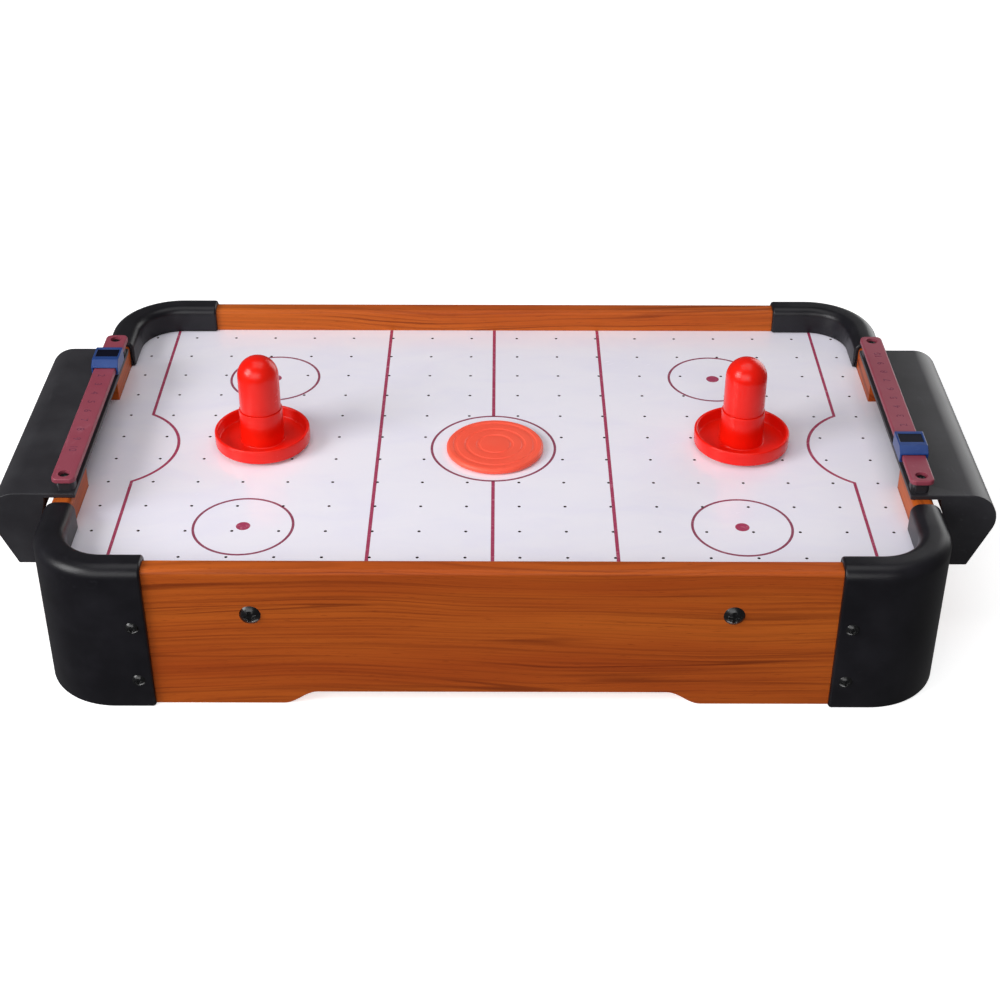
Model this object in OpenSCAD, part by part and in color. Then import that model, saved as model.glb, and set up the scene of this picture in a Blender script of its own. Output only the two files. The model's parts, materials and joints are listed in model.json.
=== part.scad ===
// Tabletop air hockey table: four panels joined by moulded corner caps, a perforated
// playing board over a shallow air chamber, a battery fan below it, a goal hood and a
// score bar at each end, two strikers and a puck. Millimetres, +Z up. The origin is
// on the supporting surface under the middle of the table; +X runs towards the right goal.

/* [Body] */
// Length over the end panels
body_len = 493; // [480:1:510]
// Width over the side panels
body_wid = 310; // [300:1:320]
// Height of the rails
rail_h = 89.5; // [86:0.5:96]
// Thickness of the four panels
panel_t = 12; // [10:0.5:13]
// Rounding of the rails' top edges
rail_round = 3; // [1:0.5:4]
// Height of the long panels' raised bottom edge
arch_h = 8; // [4:1:14]
// Half width of the raised bottom edge
arch_in = 96; // [80:1:110]
// Length of the curve at each end of the raised edge
arch_run = 19; // [10:1:24]

/* [Playing board] */
// Height of the playing surface
field_top = 75.2; // [72:0.1:78]
// Thickness of the playing board
field_t = 3; // [2:0.5:4]
// Diameter of the air holes
hole_d = 1.8; // [1.2:0.1:2.5]
// Distance between columns of air holes
col_pitch = 26.1; // [24:0.1:26.4]
// Distance from the middle to the first column
col_first = 15; // [12:0.5:16]
// Distance between rows of air holes
row_pitch = 25.3; // [24:0.05:25.8]
// Shift of the middle row to the rear
row_shift = 5; // [0:0.1:8]

/* [Corner caps] */
// Outer radius of the caps in plan
cap_r = 42; // [36:1:46]
// Thickness of the cap's outer wall
cap_wall = 3; // [2:0.5:3]
// Thickness of the cap's inner wall
cap_inner = 2.8; // [2:0.1:3]
// Height of the cap above the rail
cap_rise = 3; // [2:0.5:4]
// Distance from the middle to the caps' edges along the long sides
cap_edge_x = 185.5; // [175:0.5:190]
// Distance from the middle to the caps' edges along the ends
cap_edge_y = 92.7; // [90:0.1:98]

/* [Goals] */
// Half width of the goal mouth
mouth_half = 49.2; // [45:0.1:55]
// Half length of the goal hood
hood_half = 85; // [82:0.5:88]
// Distance from the middle to the hood's outer face
hood_out = 283.3; // [278:0.1:288]
// Height of the hood's lower edge
hood_low = 45.2; // [40:0.1:50]
// Wall thickness of the hood
hood_t = 2.5; // [2:0.1:3]
// Radius of the hood's outer top edge
hood_r = 16; // [10:1:18]

/* [Score bars] */
// Width of a score bar
bar_w = 13.4; // [13:0.1:15]
// Thickness of a score bar
bar_t = 3; // [2.5:0.1:5]
// Height of a score bar's top
bar_top = 102.1; // [101:0.1:104]
// Half length of a score bar
bar_half = 85.2; // [82:0.1:86]
// Distance from the middle to a score bar's middle
bar_x = 239; // [238:0.1:241]
// Length of a slider
slider_len = 20; // [18:0.1:26]
// Place of the left slider along its bar
left_score = 50.5; // [-57:0.5:57]
// Place of the right slider along its bar
right_score = -48.5; // [-57:0.5:57]

/* [Strikers and puck] */
// Height of a striker
striker_h = 58; // [50:1:64]
// Radius of a striker's rim
striker_r = 28.4; // [24:0.1:30]
// Height of a striker's rim
rim_h = 10; // [8:0.5:14]
// Radius of a striker's knob
knob_r = 12.2; // [11:0.1:14]
// Radius of the puck
puck_r = 28.9; // [24:0.1:30]
// Thickness of the puck
puck_t = 3.6; // [3:0.1:5]

/* [Fan and battery] */
// Height of the chamber's floor board, upper face
floor_top = 49; // [46:0.5:50]
// Radius of the fan's blades
blade_r = 37.5; // [34:0.5:38]
// Number of fan blades
blade_count = 7; // [5:1:9]

/* [Hidden] */
// Outer half sizes of the panels, and the centre of the corner rounding
hx = body_len / 2;
hy = body_wid / 2;
ccx = hx + cap_wall - cap_r;
ccy = hy + cap_wall - cap_r;
// Radii of the panels' outer and inner faces about the corner centre
r_out = cap_r - cap_wall;
r_in = r_out - panel_t;
cap_top = rail_h + cap_rise;
gap = 0.1;
// Floor board and the strips between it and the playing board
floor_t = 3;
chamber_h = field_top - field_t - floor_top;
ledger_t = 8;
// Braces across the chamber, held by the side screws
brace_x = 129.5;
brace_t = 12;
side_screw_z = 61;
cap_screw_x = 193;
cap_screw_y = 102;
cap_screw_z = [18.4, 54];
bar_screw_y = 79.1;
flange_t = 2.8;
// How far the hood's flange reaches past the panel's inner face
flange_over = 1.2;
flange_top = rail_h + flange_t;
bar_low = bar_top - bar_t;
// Length of the pads on the hood that carry the bar, and how far its sides and ends overhang them
pad_len = 9;
pad_in = [1.6, 3.2];
// Depth of the holes that sink the bar's screw heads
bar_sink = 2;
// Score slider walls and the running gap round the bar
slide_gap = 0.25;
slider_wall = 1.2;
// Height of the slider's top above the bar, and length of the thumb ramp in front of it
slider_rise = 4.4;
slider_ramp = 4.2;
// Reading window of a slider: length, half width and distance of its middle from the slider's
window_len = 9.4;
window_half = 6.8;
window_at = slider_len / 2 - window_len / 2 - 2.4;
tick_pitch = 10.6;
// Playing pieces
air_gap = 0.3;
piece_z = field_top + air_gap;
felt_t = 1.2;
left_at = [-138.6, -1.3];
right_at = [148.8, -2.1];
puck_at = [1, -9.2];
collar_h = 24;
// Fan below the floor board
floor_low = floor_top - floor_t;
duct_r = 42;
duct_low = 20;
motor_r = 12;
motor_low = 19.6;
motor_h = 14;
shaft_r = 1;
// Battery box and switch below the floor board
box_x = 96;
box_len = 62;
box_wid = 64;
box_low = 28;
cell_r = 7.1;
cell_len = 50;
cell_pitch = 14.6;
switch_x = -96;
switch_low = 28;
rocker_z = 31.5;
rocker_tilt = 7;
wire_d = 1.6;
// Screws of the battery box and the switch: place in plan
bracket_screw_at = [[box_x, -36], [box_x, 36], [switch_x - 16.5, 0], [switch_x + 16.5, 0]];

wood = "#AA501E";
black = "#232128";
grey = "#3A393D";
pink = "#9B4B5F";
blue = "#284B8C";
red = "#EB2814";
orange = "#FA5A41";

// ---- shared shapes ----

// Points of an arc about c from angle a to angle b
function arc(c, r, a, b, n = 10) = [for (i = [0:n]) c + r * [cos(a + (b - a) * i / n), sin(a + (b - a) * i / n)]];

// Rectangle in plan with rounded corners
module rounded_plan(x, y, r) {
    union() {
        square([2 * x, 2 * (y - r)], center = true);
        square([2 * (x - r), 2 * y], center = true);
        for (sx = [-1, 1], sy = [-1, 1]) translate([sx * (x - r), sy * (y - r)]) circle(r, $fn = 48);
    }
}

// Section of a rail: thickness along x, height along y, both top edges rounded
module rail_section() {
    t = panel_t / 2;
    polygon(concat([[-t, 0], [t, 0]],
        arc([t - rail_round, rail_h - rail_round], rail_round, 0, 90, 8),
        arc([rail_round - t, rail_h - rail_round], rail_round, 90, 180, 8)));
}

// Outline of a long panel: the bottom edge rises over its middle in two smooth curves
module side_outline() {
    n = 12;
    rise = [for (i = [0:n]) [arch_in + arch_run * (1 - i / n), arch_h * (1 - cos(180 * i / n)) / 2]];
    polygon(concat([[-ccx, 0]], [for (p = rise) [-p[0], p[1]]],
        [for (i = [n:-1:0]) rise[i]], [[ccx, 0], [ccx, rail_h], [-ccx, rail_h]]));
}

// A round hole along z, y or x
module bore_z(p, d, h) translate(p) cylinder(d = d, h = h, center = true, $fn = 24);
module bore_y(p, d, h) translate(p) rotate([90, 0, 0]) cylinder(d = d, h = h, center = true, $fn = 24);
module bore_x(p, d, h) translate(p) rotate([0, 90, 0]) cylinder(d = d, h = h, center = true, $fn = 24);

// Domed screw with a cross recess. The head stands on z = 0 and the shank points down.
module screw(head_d, head_h, shank_d, length) {
    recess = head_d * 0.28;
    difference() {
        union() {
            intersection() {
                ball = (head_d * head_d / 4 + head_h * head_h) / (2 * head_h);
                translate([0, 0, head_h - ball]) sphere(ball, $fn = 48);
                cylinder(d = head_d, h = head_h, $fn = 48);
            }
            translate([0, 0, -length]) cylinder(d = shank_d, h = length + 0.01, $fn = 24);
        }
        for (a = [0, 90]) rotate(a) translate([0, 0, head_h])
            cube([2 * recess, head_d * 0.13, head_h * 0.9], center = true);
    }
}

// Tube swept along a list of points, closed at both ends
function unit(v) = v / norm(v);
function path_dir(p, i) = unit(p[min(i + 1, len(p) - 1)] - p[max(i - 1, 0)]);
module wire(points, d, sides = 8) {
    up = [0.12, 0.2, 1];
    rings = [for (i = [0:len(points) - 1])
        let (t = path_dir(points, i), u = unit(cross(t, up)), v = cross(u, t))
        for (k = [0:sides - 1]) points[i] + d / 2 * (cos(360 * k / sides) * u + sin(360 * k / sides) * v)];
    n = len(points);
    walls = [for (i = [0:n - 2], k = [0:sides - 1])
        [i * sides + k, (i + 1) * sides + k, (i + 1) * sides + (k + 1) % sides, i * sides + (k + 1) % sides]];
    ends = [[for (k = [0:sides - 1]) k], [for (k = [sides - 1:-1:0]) (n - 1) * sides + k]];
    polyhedron(rings, concat(walls, ends), convexity = 8);
}
// Smooth curve through four neighbouring points (Catmull-Rom), sampled along the route
function curve_point(a, b, c, d, t) = 0.5 * (2 * b + (c - a) * t + (2 * a - 5 * b + 4 * c - d) * t * t
    + (3 * b - a - 3 * c + d) * t * t * t);
function smooth_route(p, n = 4) = let (m = len(p)) concat(
    [for (i = [0:m - 2], j = [0:n - 1])
        curve_point(p[max(i - 1, 0)], p[i], p[i + 1], p[min(i + 2, m - 1)], j / n)], [p[m - 1]]);

// ---- panels ----

module side_panel(side) {
    color(wood) difference() {
        intersection() {
            translate([0, side * (hy - panel_t / 2), 0]) rotate([90, 0, 0])
                linear_extrude(panel_t, center = true) side_outline();
            translate([0, side * (hy - panel_t / 2), 0]) rotate([90, 0, 90])
                linear_extrude(body_len, center = true) rail_section();
        }
        for (x = [-brace_x, brace_x]) bore_y([x, side * hy, side_screw_z], 4.2, 3 * panel_t);
        for (x = [-cap_screw_x, cap_screw_x], z = cap_screw_z) bore_y([x, side * hy, z], 3.4, 3 * panel_t);
    }
}
module front_side_panel() side_panel(-1);
module rear_side_panel() side_panel(1);

// End panel with the goal mouth cut out of its rail, down to the playing board's tongue
module end_panel(side) {
    color(wood) difference() {
        translate([side * (hx - panel_t / 2), 0, 0]) rotate([90, 0, 0])
            linear_extrude(2 * ccy, center = true) rail_section();
        translate([side * hx - panel_t, -mouth_half, field_top - field_t - gap])
            cube([2 * panel_t, 2 * mouth_half, 40]);
        for (y = [-cap_screw_y, cap_screw_y], z = cap_screw_z) bore_x([side * hx, y, z], 3.4, 3 * panel_t);
        for (y = [-bar_screw_y, bar_screw_y]) bore_z([side * bar_x, y, rail_h], 3.4, 36);
    }
}
module left_end_panel() end_panel(-1);
module right_end_panel() end_panel(1);

// Wooden block in each rounded corner, between the ends of two panels
module corner_blocks() {
    color(wood) for (sx = [-1, 1], sy = [-1, 1]) scale([sx, sy, 1]) translate([ccx, ccy, 0])
        linear_extrude(rail_h - gap) intersection() {
            difference() {
                circle(r_out - gap, $fn = 72);
                circle(r_in + gap, $fn = 72);
            }
            translate([gap, gap]) square(cap_r);
        }
}

// ---- corner caps ----

// Section of a cap: outer wall to the ground, rolled top, inner wall down to the playing board
module cap_section() {
    round_out = 7.5;
    round_in = 5.5;
    r0 = r_in - cap_inner;
    foot = field_top + 0.1;
    polygon(concat([[r_out, 0], [cap_r, 0]],
        arc([cap_r - round_out, cap_top - round_out], round_out, 0, 90, 10),
        arc([r0 + round_in, cap_top - round_in], round_in, 90, 180, 8),
        [[r0, foot], [r_in, foot], [r_in, rail_h], [r_out, rail_h]]));
}

module corner_cap(sx, sy) {
    along_x = ccx - cap_edge_x;
    along_y = ccy - cap_edge_y;
    color(black) difference() {
        scale([sx, sy, 1]) translate([ccx, ccy, 0]) union() {
            rotate_extrude(angle = 90, $fn = 96) cap_section();
            rotate([90, 0, 0]) linear_extrude(along_y) cap_section();
            rotate([90, 0, 90]) mirror([0, 0, 1]) linear_extrude(along_x) cap_section();
        }
        for (z = cap_screw_z) {
            bore_y([sx * cap_screw_x, sy * hy, z], 3.6, 3 * panel_t);
            bore_x([sx * hx, sy * cap_screw_y, z], 3.6, 3 * panel_t);
        }
    }
}
module front_left_corner_cap() corner_cap(-1, -1);
module front_right_corner_cap() corner_cap(1, -1);
module rear_left_corner_cap() corner_cap(-1, 1);
module rear_right_corner_cap() corner_cap(1, 1);

// ---- playing board and air chamber ----

// Perforated board, with a tongue through each goal mouth
module playing_board() {
    color("white") translate([0, 0, field_top - field_t]) linear_extrude(field_t) difference() {
        union() {
            rounded_plan(hx - panel_t - gap, hy - panel_t - gap, r_in - gap);
            square([2 * hx, 2 * (mouth_half - gap)], center = true);
        }
        for (sx = [-1, 1], i = [0:8], k = [-5:5])
            translate([sx * (col_first + col_pitch * i), row_shift + row_pitch * k]) circle(d = hole_d, $fn = 16);
    }
}

// Places of the screws that hold the floor board up against the braces and strips
floor_screw_at = concat([for (x = [-brace_x, brace_x], y = [-90, -45, 45, 90]) [x, y]],
    [for (x = [-60, 60], y = [-1, 1]) [x, y * (hy - panel_t - ledger_t / 2)]],
    [for (x = [-1, 1], y = [-50, 50]) [x * (hx - panel_t - ledger_t / 2), y]]);

module chamber_floor() {
    color("#8A6A4A") translate([0, 0, floor_low]) linear_extrude(floor_t) difference() {
        rounded_plan(hx - panel_t - gap, hy - panel_t - gap, r_in - gap);
        circle(duct_r - 2, $fn = 72);
        for (p = floor_screw_at) translate(p) circle(d = 3.4, $fn = 20);
        for (a = [45:90:315]) rotate(a) translate([duct_r + 5, 0]) circle(d = 2.8, $fn = 20);
        for (p = bracket_screw_at) translate(p) circle(d = 2.8, $fn = 20);
    }
}

module cross_brace(side) {
    color("#C49A6C") difference() {
        translate([side * brace_x - brace_t / 2, panel_t - hy + gap, floor_top])
            cube([brace_t, body_wid - 2 * panel_t - 2 * gap, chamber_h]);
        for (y = [-112.5:45:112.5]) bore_x([side * brace_x, y, floor_top + chamber_h / 2], 15, 2 * brace_t);
        for (y = [-1, 1]) bore_y([side * brace_x, y * hy, side_screw_z], 4.2, 80);
        for (p = floor_screw_at) bore_z([p[0], p[1], floor_top], 3, 24);
    }
}
module left_cross_brace() cross_brace(-1);
module right_cross_brace() cross_brace(1);

// Strips along a long side, one at each side of a brace and one between the braces
module long_ledgers(side) {
    y = side > 0 ? hy - panel_t - ledger_t : panel_t - hy + gap;
    bay = brace_x + brace_t / 2 + gap;
    color("#C49A6C") difference() {
        for (span = [[-ccx, -bay], [-bay + brace_t + 2 * gap, bay - brace_t - 2 * gap], [bay, ccx]])
            translate([span[0], y, floor_top]) cube([span[1] - span[0], ledger_t - gap, chamber_h]);
        for (p = floor_screw_at) bore_z([p[0], p[1], floor_top], 3, 24);
    }
}
module front_ledgers() long_ledgers(-1);
module rear_ledgers() long_ledgers(1);

module end_ledger(side) {
    color("#C49A6C") difference() {
        translate([side > 0 ? hx - panel_t - ledger_t : panel_t - hx + gap, -ccy, floor_top])
            cube([ledger_t - gap, 2 * ccy, chamber_h]);
        for (p = floor_screw_at) bore_z([p[0], p[1], floor_top], 3, 24);
    }
}
module left_ledger() end_ledger(-1);
module right_ledger() end_ledger(1);

// ---- screws of the body ----

module side_panel_screws() {
    color(black) for (x = [-brace_x, brace_x], s = [-1, 1])
        translate([x, s * hy, side_screw_z]) rotate([-90 * s, 0, 0]) screw(11.6, 2.6, 4, 40);
}

module corner_cap_screws() {
    color(black) for (sx = [-1, 1], sy = [-1, 1], z = cap_screw_z) {
        translate([sx * cap_screw_x, sy * (hy + cap_wall), z]) rotate([-90 * sy, 0, 0]) screw(7.4, 1.8, 3.2, 13);
        translate([sx * (hx + cap_wall), sy * cap_screw_y, z]) rotate([0, 90 * sx, 0]) screw(7.4, 1.8, 3.2, 13);
    }
}

module floor_screws() {
    color("silver") for (p = floor_screw_at) translate([p[0], p[1], floor_low]) rotate([180, 0, 0])
        screw(6, 1.6, 2.8, 13);
}

// ---- goals ----

// Half profile of the hood, x outwards and y upwards: flange, rounded edge and sloping lip
// at a distance d inside the outer surface
lip_dir = unit([hood_out - 270.9, 27.6]);
lip_turn = -atan2(lip_dir[0], lip_dir[1]);
hood_c = [hood_out - hood_r, flange_top - hood_r];
function hood_edge(d) = concat([[hx - panel_t - flange_over, flange_top - d]],
    arc(hood_c, hood_r - d, 90, lip_turn, 16),
    let (p = hood_c + (hood_r - d) * [cos(lip_turn), sin(lip_turn)])
        [p - lip_dir * (p[1] - hood_low) / lip_dir[1]]);

module hood_profile() {
    outer = hood_edge(0);
    inner = hood_edge(hood_t);
    n = len(inner);
    polygon(concat(outer, [for (i = [n - 1:-1:1]) inner[i]],
        [[hx, rail_h], [hx - panel_t - flange_over, rail_h]]));
}

// End cheek of the hood, cut back on the panel side
module cheek_profile() {
    outer = hood_edge(0);
    n = len(outer);
    polygon(concat([[hx + 4.4, flange_top]], [for (i = [1:n - 1]) outer[i]],
        [[hx + 14.5, hood_low], [hx + 4.4, rail_h - 2]]));
}

module goal_hood(side) {
    color(grey) scale([side, 1, 1]) difference() {
        union() {
            rotate([90, 0, 0]) linear_extrude(2 * hood_half, center = true) hood_profile();
            for (s = [-1, 1]) translate([0, s * (hood_half - hood_t / 2), 0]) rotate([90, 0, 0])
                linear_extrude(hood_t, center = true) cheek_profile();
            for (s = [-1, 1]) translate([bar_x, s * (bar_half - pad_in.y - pad_len / 2), flange_top - 0.01])
                linear_extrude(bar_low - flange_top) rounded_plan(bar_w / 2 - pad_in.x, pad_len / 2, 2.5);
        }
        for (y = [-bar_screw_y, bar_screw_y]) bore_z([bar_x, y, flange_top], 3.6, 20);
    }
}
module left_goal_hood() goal_hood(-1);
module right_goal_hood() goal_hood(1);

// ---- score bars ----

// Bar with a tick groove beside each of the points 0 to 10; zero is the place of the first
module score_bar(side, zero) {
    corner = 3.5;
    color(pink) translate([side * bar_x, 0, 0]) difference() {
        translate([0, 0, bar_low]) linear_extrude(bar_t) rounded_plan(bar_w / 2, bar_half, corner);
        for (s = [-1, 1]) {
            bore_z([0, s * bar_screw_y, bar_low], 3.6, 20);
            translate([0, s * bar_screw_y, bar_top - bar_sink]) cylinder(d = 6.8, h = 5, $fn = 32);
        }
        for (i = [0:10]) translate([-bar_w / 2, zero + side * i * tick_pitch - 0.3, bar_top - 0.35])
            cube([3.2, 0.6, 1]);
    }
}
module left_score_bar() score_bar(-1, left_score + window_at);
module right_score_bar() score_bar(1, right_score + window_at);

module score_bar_screws() {
    color(black) for (s = [-1, 1], y = [-bar_screw_y, bar_screw_y])
        translate([s * bar_x, y, bar_top - bar_sink]) screw(6.2, 1.5, 3.2, 24);
}

// Sleeve that runs on the bar: a raised housing with a reading window, and a thumb ramp in front
module score_slider(side, y) {
    w = bar_w + 2 * slide_gap + 2 * slider_wall;
    half = slider_len / 2;
    low = bar_low - slide_gap - slider_wall + 0.2;
    top = bar_top + slider_rise;
    color(blue) translate([side * bar_x, y, 0]) difference() {
        rotate([90, 0, 90]) linear_extrude(w, center = true) polygon([[-half, low], [half, low],
            [half, top], [slider_ramp - half, top], [-half, bar_top + slider_wall]]);
        translate([-bar_w / 2 - slide_gap, -slider_len, bar_low - slide_gap])
            cube([bar_w + 2 * slide_gap, 2 * slider_len, bar_t + 2 * slide_gap]);
        translate([-window_half, window_at - window_len / 2, bar_top]) cube([2 * window_half, window_len, 8]);
    }
}
module left_score_slider() score_slider(-1, left_score);
module right_score_slider() score_slider(1, right_score);

// Smoked plate let into the slider's window, a little below its top
module slider_window(side, y) {
    fit = 0.04;
    plate = 1.2;
    low = bar_top + slider_rise - plate - 0.3;
    color("#0A0F24") translate([side * bar_x - window_half + fit, y + window_at - window_len / 2 + fit, low])
        cube([2 * (window_half - fit), window_len - 2 * fit, plate]);
}
module left_slider_window() slider_window(-1, left_score);
module right_slider_window() slider_window(1, right_score);

// ---- strikers and puck ----

module striker_base(at) {
    z0 = felt_t;
    wall = 2;
    floor_h = z0 + 2;
    color(red) translate([at[0], at[1], piece_z]) rotate_extrude($fn = 96) difference() {
        polygon(concat([[0, z0], [striker_r - 1.6, z0], [striker_r - 1, z0 + 0.6]],
            arc([striker_r - wall / 2, rim_h - wall / 2], wall / 2, 0, 180, 10),
            [[striker_r - wall - 0.4, floor_h + 0.8], [striker_r - wall - 1.2, floor_h],
             [knob_r + 1.5, floor_h], [knob_r + 0.8, floor_h + 0.8], [knob_r + 0.6, collar_h - 0.4],
             [knob_r + 0.3, collar_h], [0, collar_h]]));
        translate([0, floor_h]) square([knob_r - 1.2, striker_h]);
    }
}

// Domed knob with a spigot that is pressed into the base's collar
module striker_knob(at) {
    color(red) translate([at[0], at[1], piece_z]) rotate_extrude($fn = 96) difference() {
        polygon(concat([[0, collar_h - 14], [knob_r - 1.3, collar_h - 14], [knob_r - 1.3, collar_h + 0.05],
            [knob_r, collar_h + 0.05]], arc([0, striker_h - knob_r], knob_r, 0, 90, 16)));
        polygon(concat([[0, collar_h - 15], [knob_r - 3.6, collar_h - 15]],
            arc([0, striker_h - knob_r], knob_r - 3.6, 0, 90, 16)));
    }
}

module striker_felt(at) {
    color("white") translate([at[0], at[1], piece_z]) cylinder(r = striker_r - 3, h = felt_t, $fn = 96);
}

module left_striker_base() striker_base(left_at);
module left_striker_knob() striker_knob(left_at);
module left_striker_felt() striker_felt(left_at);
module right_striker_base() striker_base(right_at);
module right_striker_knob() striker_knob(right_at);
module right_striker_felt() striker_felt(right_at);

// Flat disc with a bevelled edge and shallow rings in its upper face
module puck() {
    ring_d = 0.5;
    color(orange) translate([puck_at[0], puck_at[1], piece_z]) rotate_extrude($fn = 96) difference() {
        polygon([[0, 0], [puck_r - 0.7, 0], [puck_r, 0.7], [puck_r, puck_t - 0.9], [puck_r - 0.9, puck_t], [0, puck_t]]);
        for (r = [9, 16]) translate([r, puck_t - ring_d]) square([2.2, 2]);
        translate([22.6, puck_t - ring_d]) square([2.6, 2]);
    }
}

// ---- fan ----

module fan_duct() {
    color(black) difference() {
        union() {
            translate([0, 0, duct_low]) cylinder(r = duct_r, h = floor_low - duct_low, $fn = 72);
            translate([0, 0, floor_low - 2.6]) cylinder(r = duct_r + 10, h = 2.6, $fn = 72);
        }
        translate([0, 0, duct_low - 1]) cylinder(r = duct_r - 2.4, h = 60, $fn = 72);
        for (a = [45:90:315]) rotate(a) bore_z([duct_r + 5, 0, floor_low], 3.2, 20);
    }
}

// Finger guard under the duct, with the cup that holds the motor
module fan_grille() {
    cup = motor_r + 0.1;
    base = duct_low - 2.4;
    color(black) difference() {
        union() {
            for (r = [38.4, 31, 24]) translate([0, 0, base]) linear_extrude(2.4) difference() {
                circle(r == 38.4 ? duct_r : r + 1, $fn = 72);
                circle(r - 1, $fn = 72);
            }
            for (a = [0:45:315]) rotate(a) translate([motor_r + 0.6, -1, base]) cube([duct_r - motor_r - 2, 2, 2.4]);
            translate([0, 0, base]) cylinder(r = cup + 1.8, h = 12, $fn = 72);
        }
        translate([0, 0, motor_low]) cylinder(r = cup, h = 20, $fn = 72);
        for (x = [-5, 5]) bore_z([x, 0, base], 3, 20);
    }
}

module fan_motor() {
    color("silver") difference() {
        union() {
            translate([0, 0, motor_low]) cylinder(r = motor_r, h = motor_h, $fn = 64);
            translate([0, 0, motor_low + motor_h - 0.01]) cylinder(r = 3, h = 1.4, $fn = 32);
        }
        translate([0, 0, motor_low + 6]) cylinder(r = shaft_r + 0.05, h = 20, $fn = 24);
    }
}

module motor_shaft() {
    color("silver") translate([0, 0, motor_low + 6.4]) cylinder(r = shaft_r, h = 18, $fn = 24);
}

module fan_impeller() {
    hub_low = motor_low + motor_h + 2;
    hub_h = 8.4;
    color("#3C3C40") difference() {
        union() {
            translate([0, 0, hub_low]) cylinder(r = 9, h = hub_h, $fn = 48);
            intersection() {
                translate([0, 0, hub_low]) cylinder(r = blade_r, h = hub_h, $fn = 72);
                for (i = [0:blade_count - 1]) rotate(360 * i / blade_count) translate([8, 0, hub_low + hub_h / 2])
                    rotate([32, 0, 0]) translate([0, -11, -0.7]) cube([blade_r, 22, 1.4]);
            }
        }
        translate([0, 0, hub_low - 1]) cylinder(r = shaft_r, h = hub_h - 1, $fn = 24);
    }
}

module fan_screws() {
    color("silver") for (a = [45:90:315]) rotate(a) translate([duct_r + 5, 0, floor_low - 2.6])
        rotate([180, 0, 0]) screw(5.4, 1.5, 2.6, 5.4);
}

// ---- battery box and switch ----

module battery_box() {
    wall = 1.8;
    rail = 2.2;
    color(black) translate([box_x, 0, 0]) difference() {
        union() {
            translate([-box_len / 2, -box_wid / 2, box_low]) cube([box_len, box_wid, floor_low - box_low]);
            for (s = [-1, 1]) translate([-box_len / 2, s * (box_wid / 2 - rail / 2) - rail / 2, box_low - 4])
                cube([box_len, rail, 4.01]);
            for (s = [-1, 1]) translate([-box_len / 2, s > 0 ? box_wid / 2 - 2 * rail : -box_wid / 2, box_low - 4])
                cube([box_len, 2 * rail, 1.4]);
            for (s = [-1, 1]) translate([-6, s > 0 ? box_wid / 2 : -box_wid / 2 - 8, floor_low - 2.4]) cube([12, 8, 2.4]);
        }
        translate([wall - box_len / 2, wall - box_wid / 2, box_low - 1])
            cube([box_len - 2 * wall, box_wid - 2 * wall, floor_low - box_low + 1 - wall]);
        for (y = [-36, 36]) bore_z([0, y, floor_low], 3, 12);
    }
}

// Sliding cover with a finger ridge
module battery_door() {
    w = box_wid - 2 * 2.2 - 0.8;
    color("#2C2B30") translate([box_x, 0, 0]) union() {
        translate([-box_len / 2 + 0.5, -w / 2, box_low - 2.3]) cube([box_len - 0.5, w, 2]);
        for (i = [0:3]) translate([box_len / 2 - 8 + 2 * i, -12, box_low - 3.1]) cube([1, 24, 0.9]);
    }
}

module battery_cells() {
    z = box_low + 8.3;
    color("#C8A030") for (i = [0:3]) {
        turn = i % 2 == 0 ? 1 : -1;
        translate([box_x, (i - 1.5) * cell_pitch, z]) scale([turn, 1, 1]) rotate([0, 90, 0]) union() {
            translate([0, 0, -cell_len / 2]) cylinder(r = cell_r, h = cell_len - 1.2, $fn = 48);
            translate([0, 0, cell_len / 2 - 1.21]) cylinder(r = 2.7, h = 1.2, $fn = 24);
        }
    }
}

// Metal contact plates at both ends of the cells
module battery_contacts() {
    z = box_low + 8.3;
    inner = box_len / 2 - 1.8;
    color("silver") for (s = [-1, 1], i = [0:3]) translate([box_x + s * (inner - 0.3), (i - 1.5) * cell_pitch, z]) {
        cube([0.5, 11, 11], center = true);
        translate([s > 0 ? -3.4 : 0.2, 0, 0]) rotate([0, 90, 0]) cylinder(r = 2.4, h = 3.2, $fn = 24);
    }
}

module switch_housing() {
    w = 26;
    d = 20;
    color(black) translate([switch_x, 0, 0]) difference() {
        union() {
            translate([-w / 2, -d / 2, switch_low]) cube([w, d, floor_low - switch_low]);
            for (s = [-1, 1]) translate([s > 0 ? w / 2 : -w / 2 - 7, -5, floor_low - 2.4]) cube([7, 10, 2.4]);
        }
        translate([-9.6, -6.6, switch_low - 1]) cube([19.2, 13.2, 14]);
        bore_y([0, 0, rocker_z], 2.5, 17);
        for (x = [-16.5, 16.5]) bore_z([x, 0, floor_low], 3, 12);
    }
}

// Rocker on two pins; it lies tilted to its off side
module switch_rocker() {
    color("#101012") translate([switch_x, 0, rocker_z]) rotate([0, rocker_tilt, 0]) union() {
        rotate([90, 0, 0]) linear_extrude(12.4, center = true)
            polygon([[-8.2, 2.4], [-8.2, -4.6], [-4, -3.6], [0, -3.2], [4, -3.6], [8.2, -4.6], [8.2, 2.4]]);
        bore_y([0, 0, 0], 2.4, 16.4);
    }
}

module bracket_screws() {
    color("silver") for (p = bracket_screw_at) translate([p[0], p[1], floor_low - 2.4]) rotate([180, 0, 0])
        screw(5.4, 1.5, 2.6, 5.2);
}

// ---- wires ----

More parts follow.
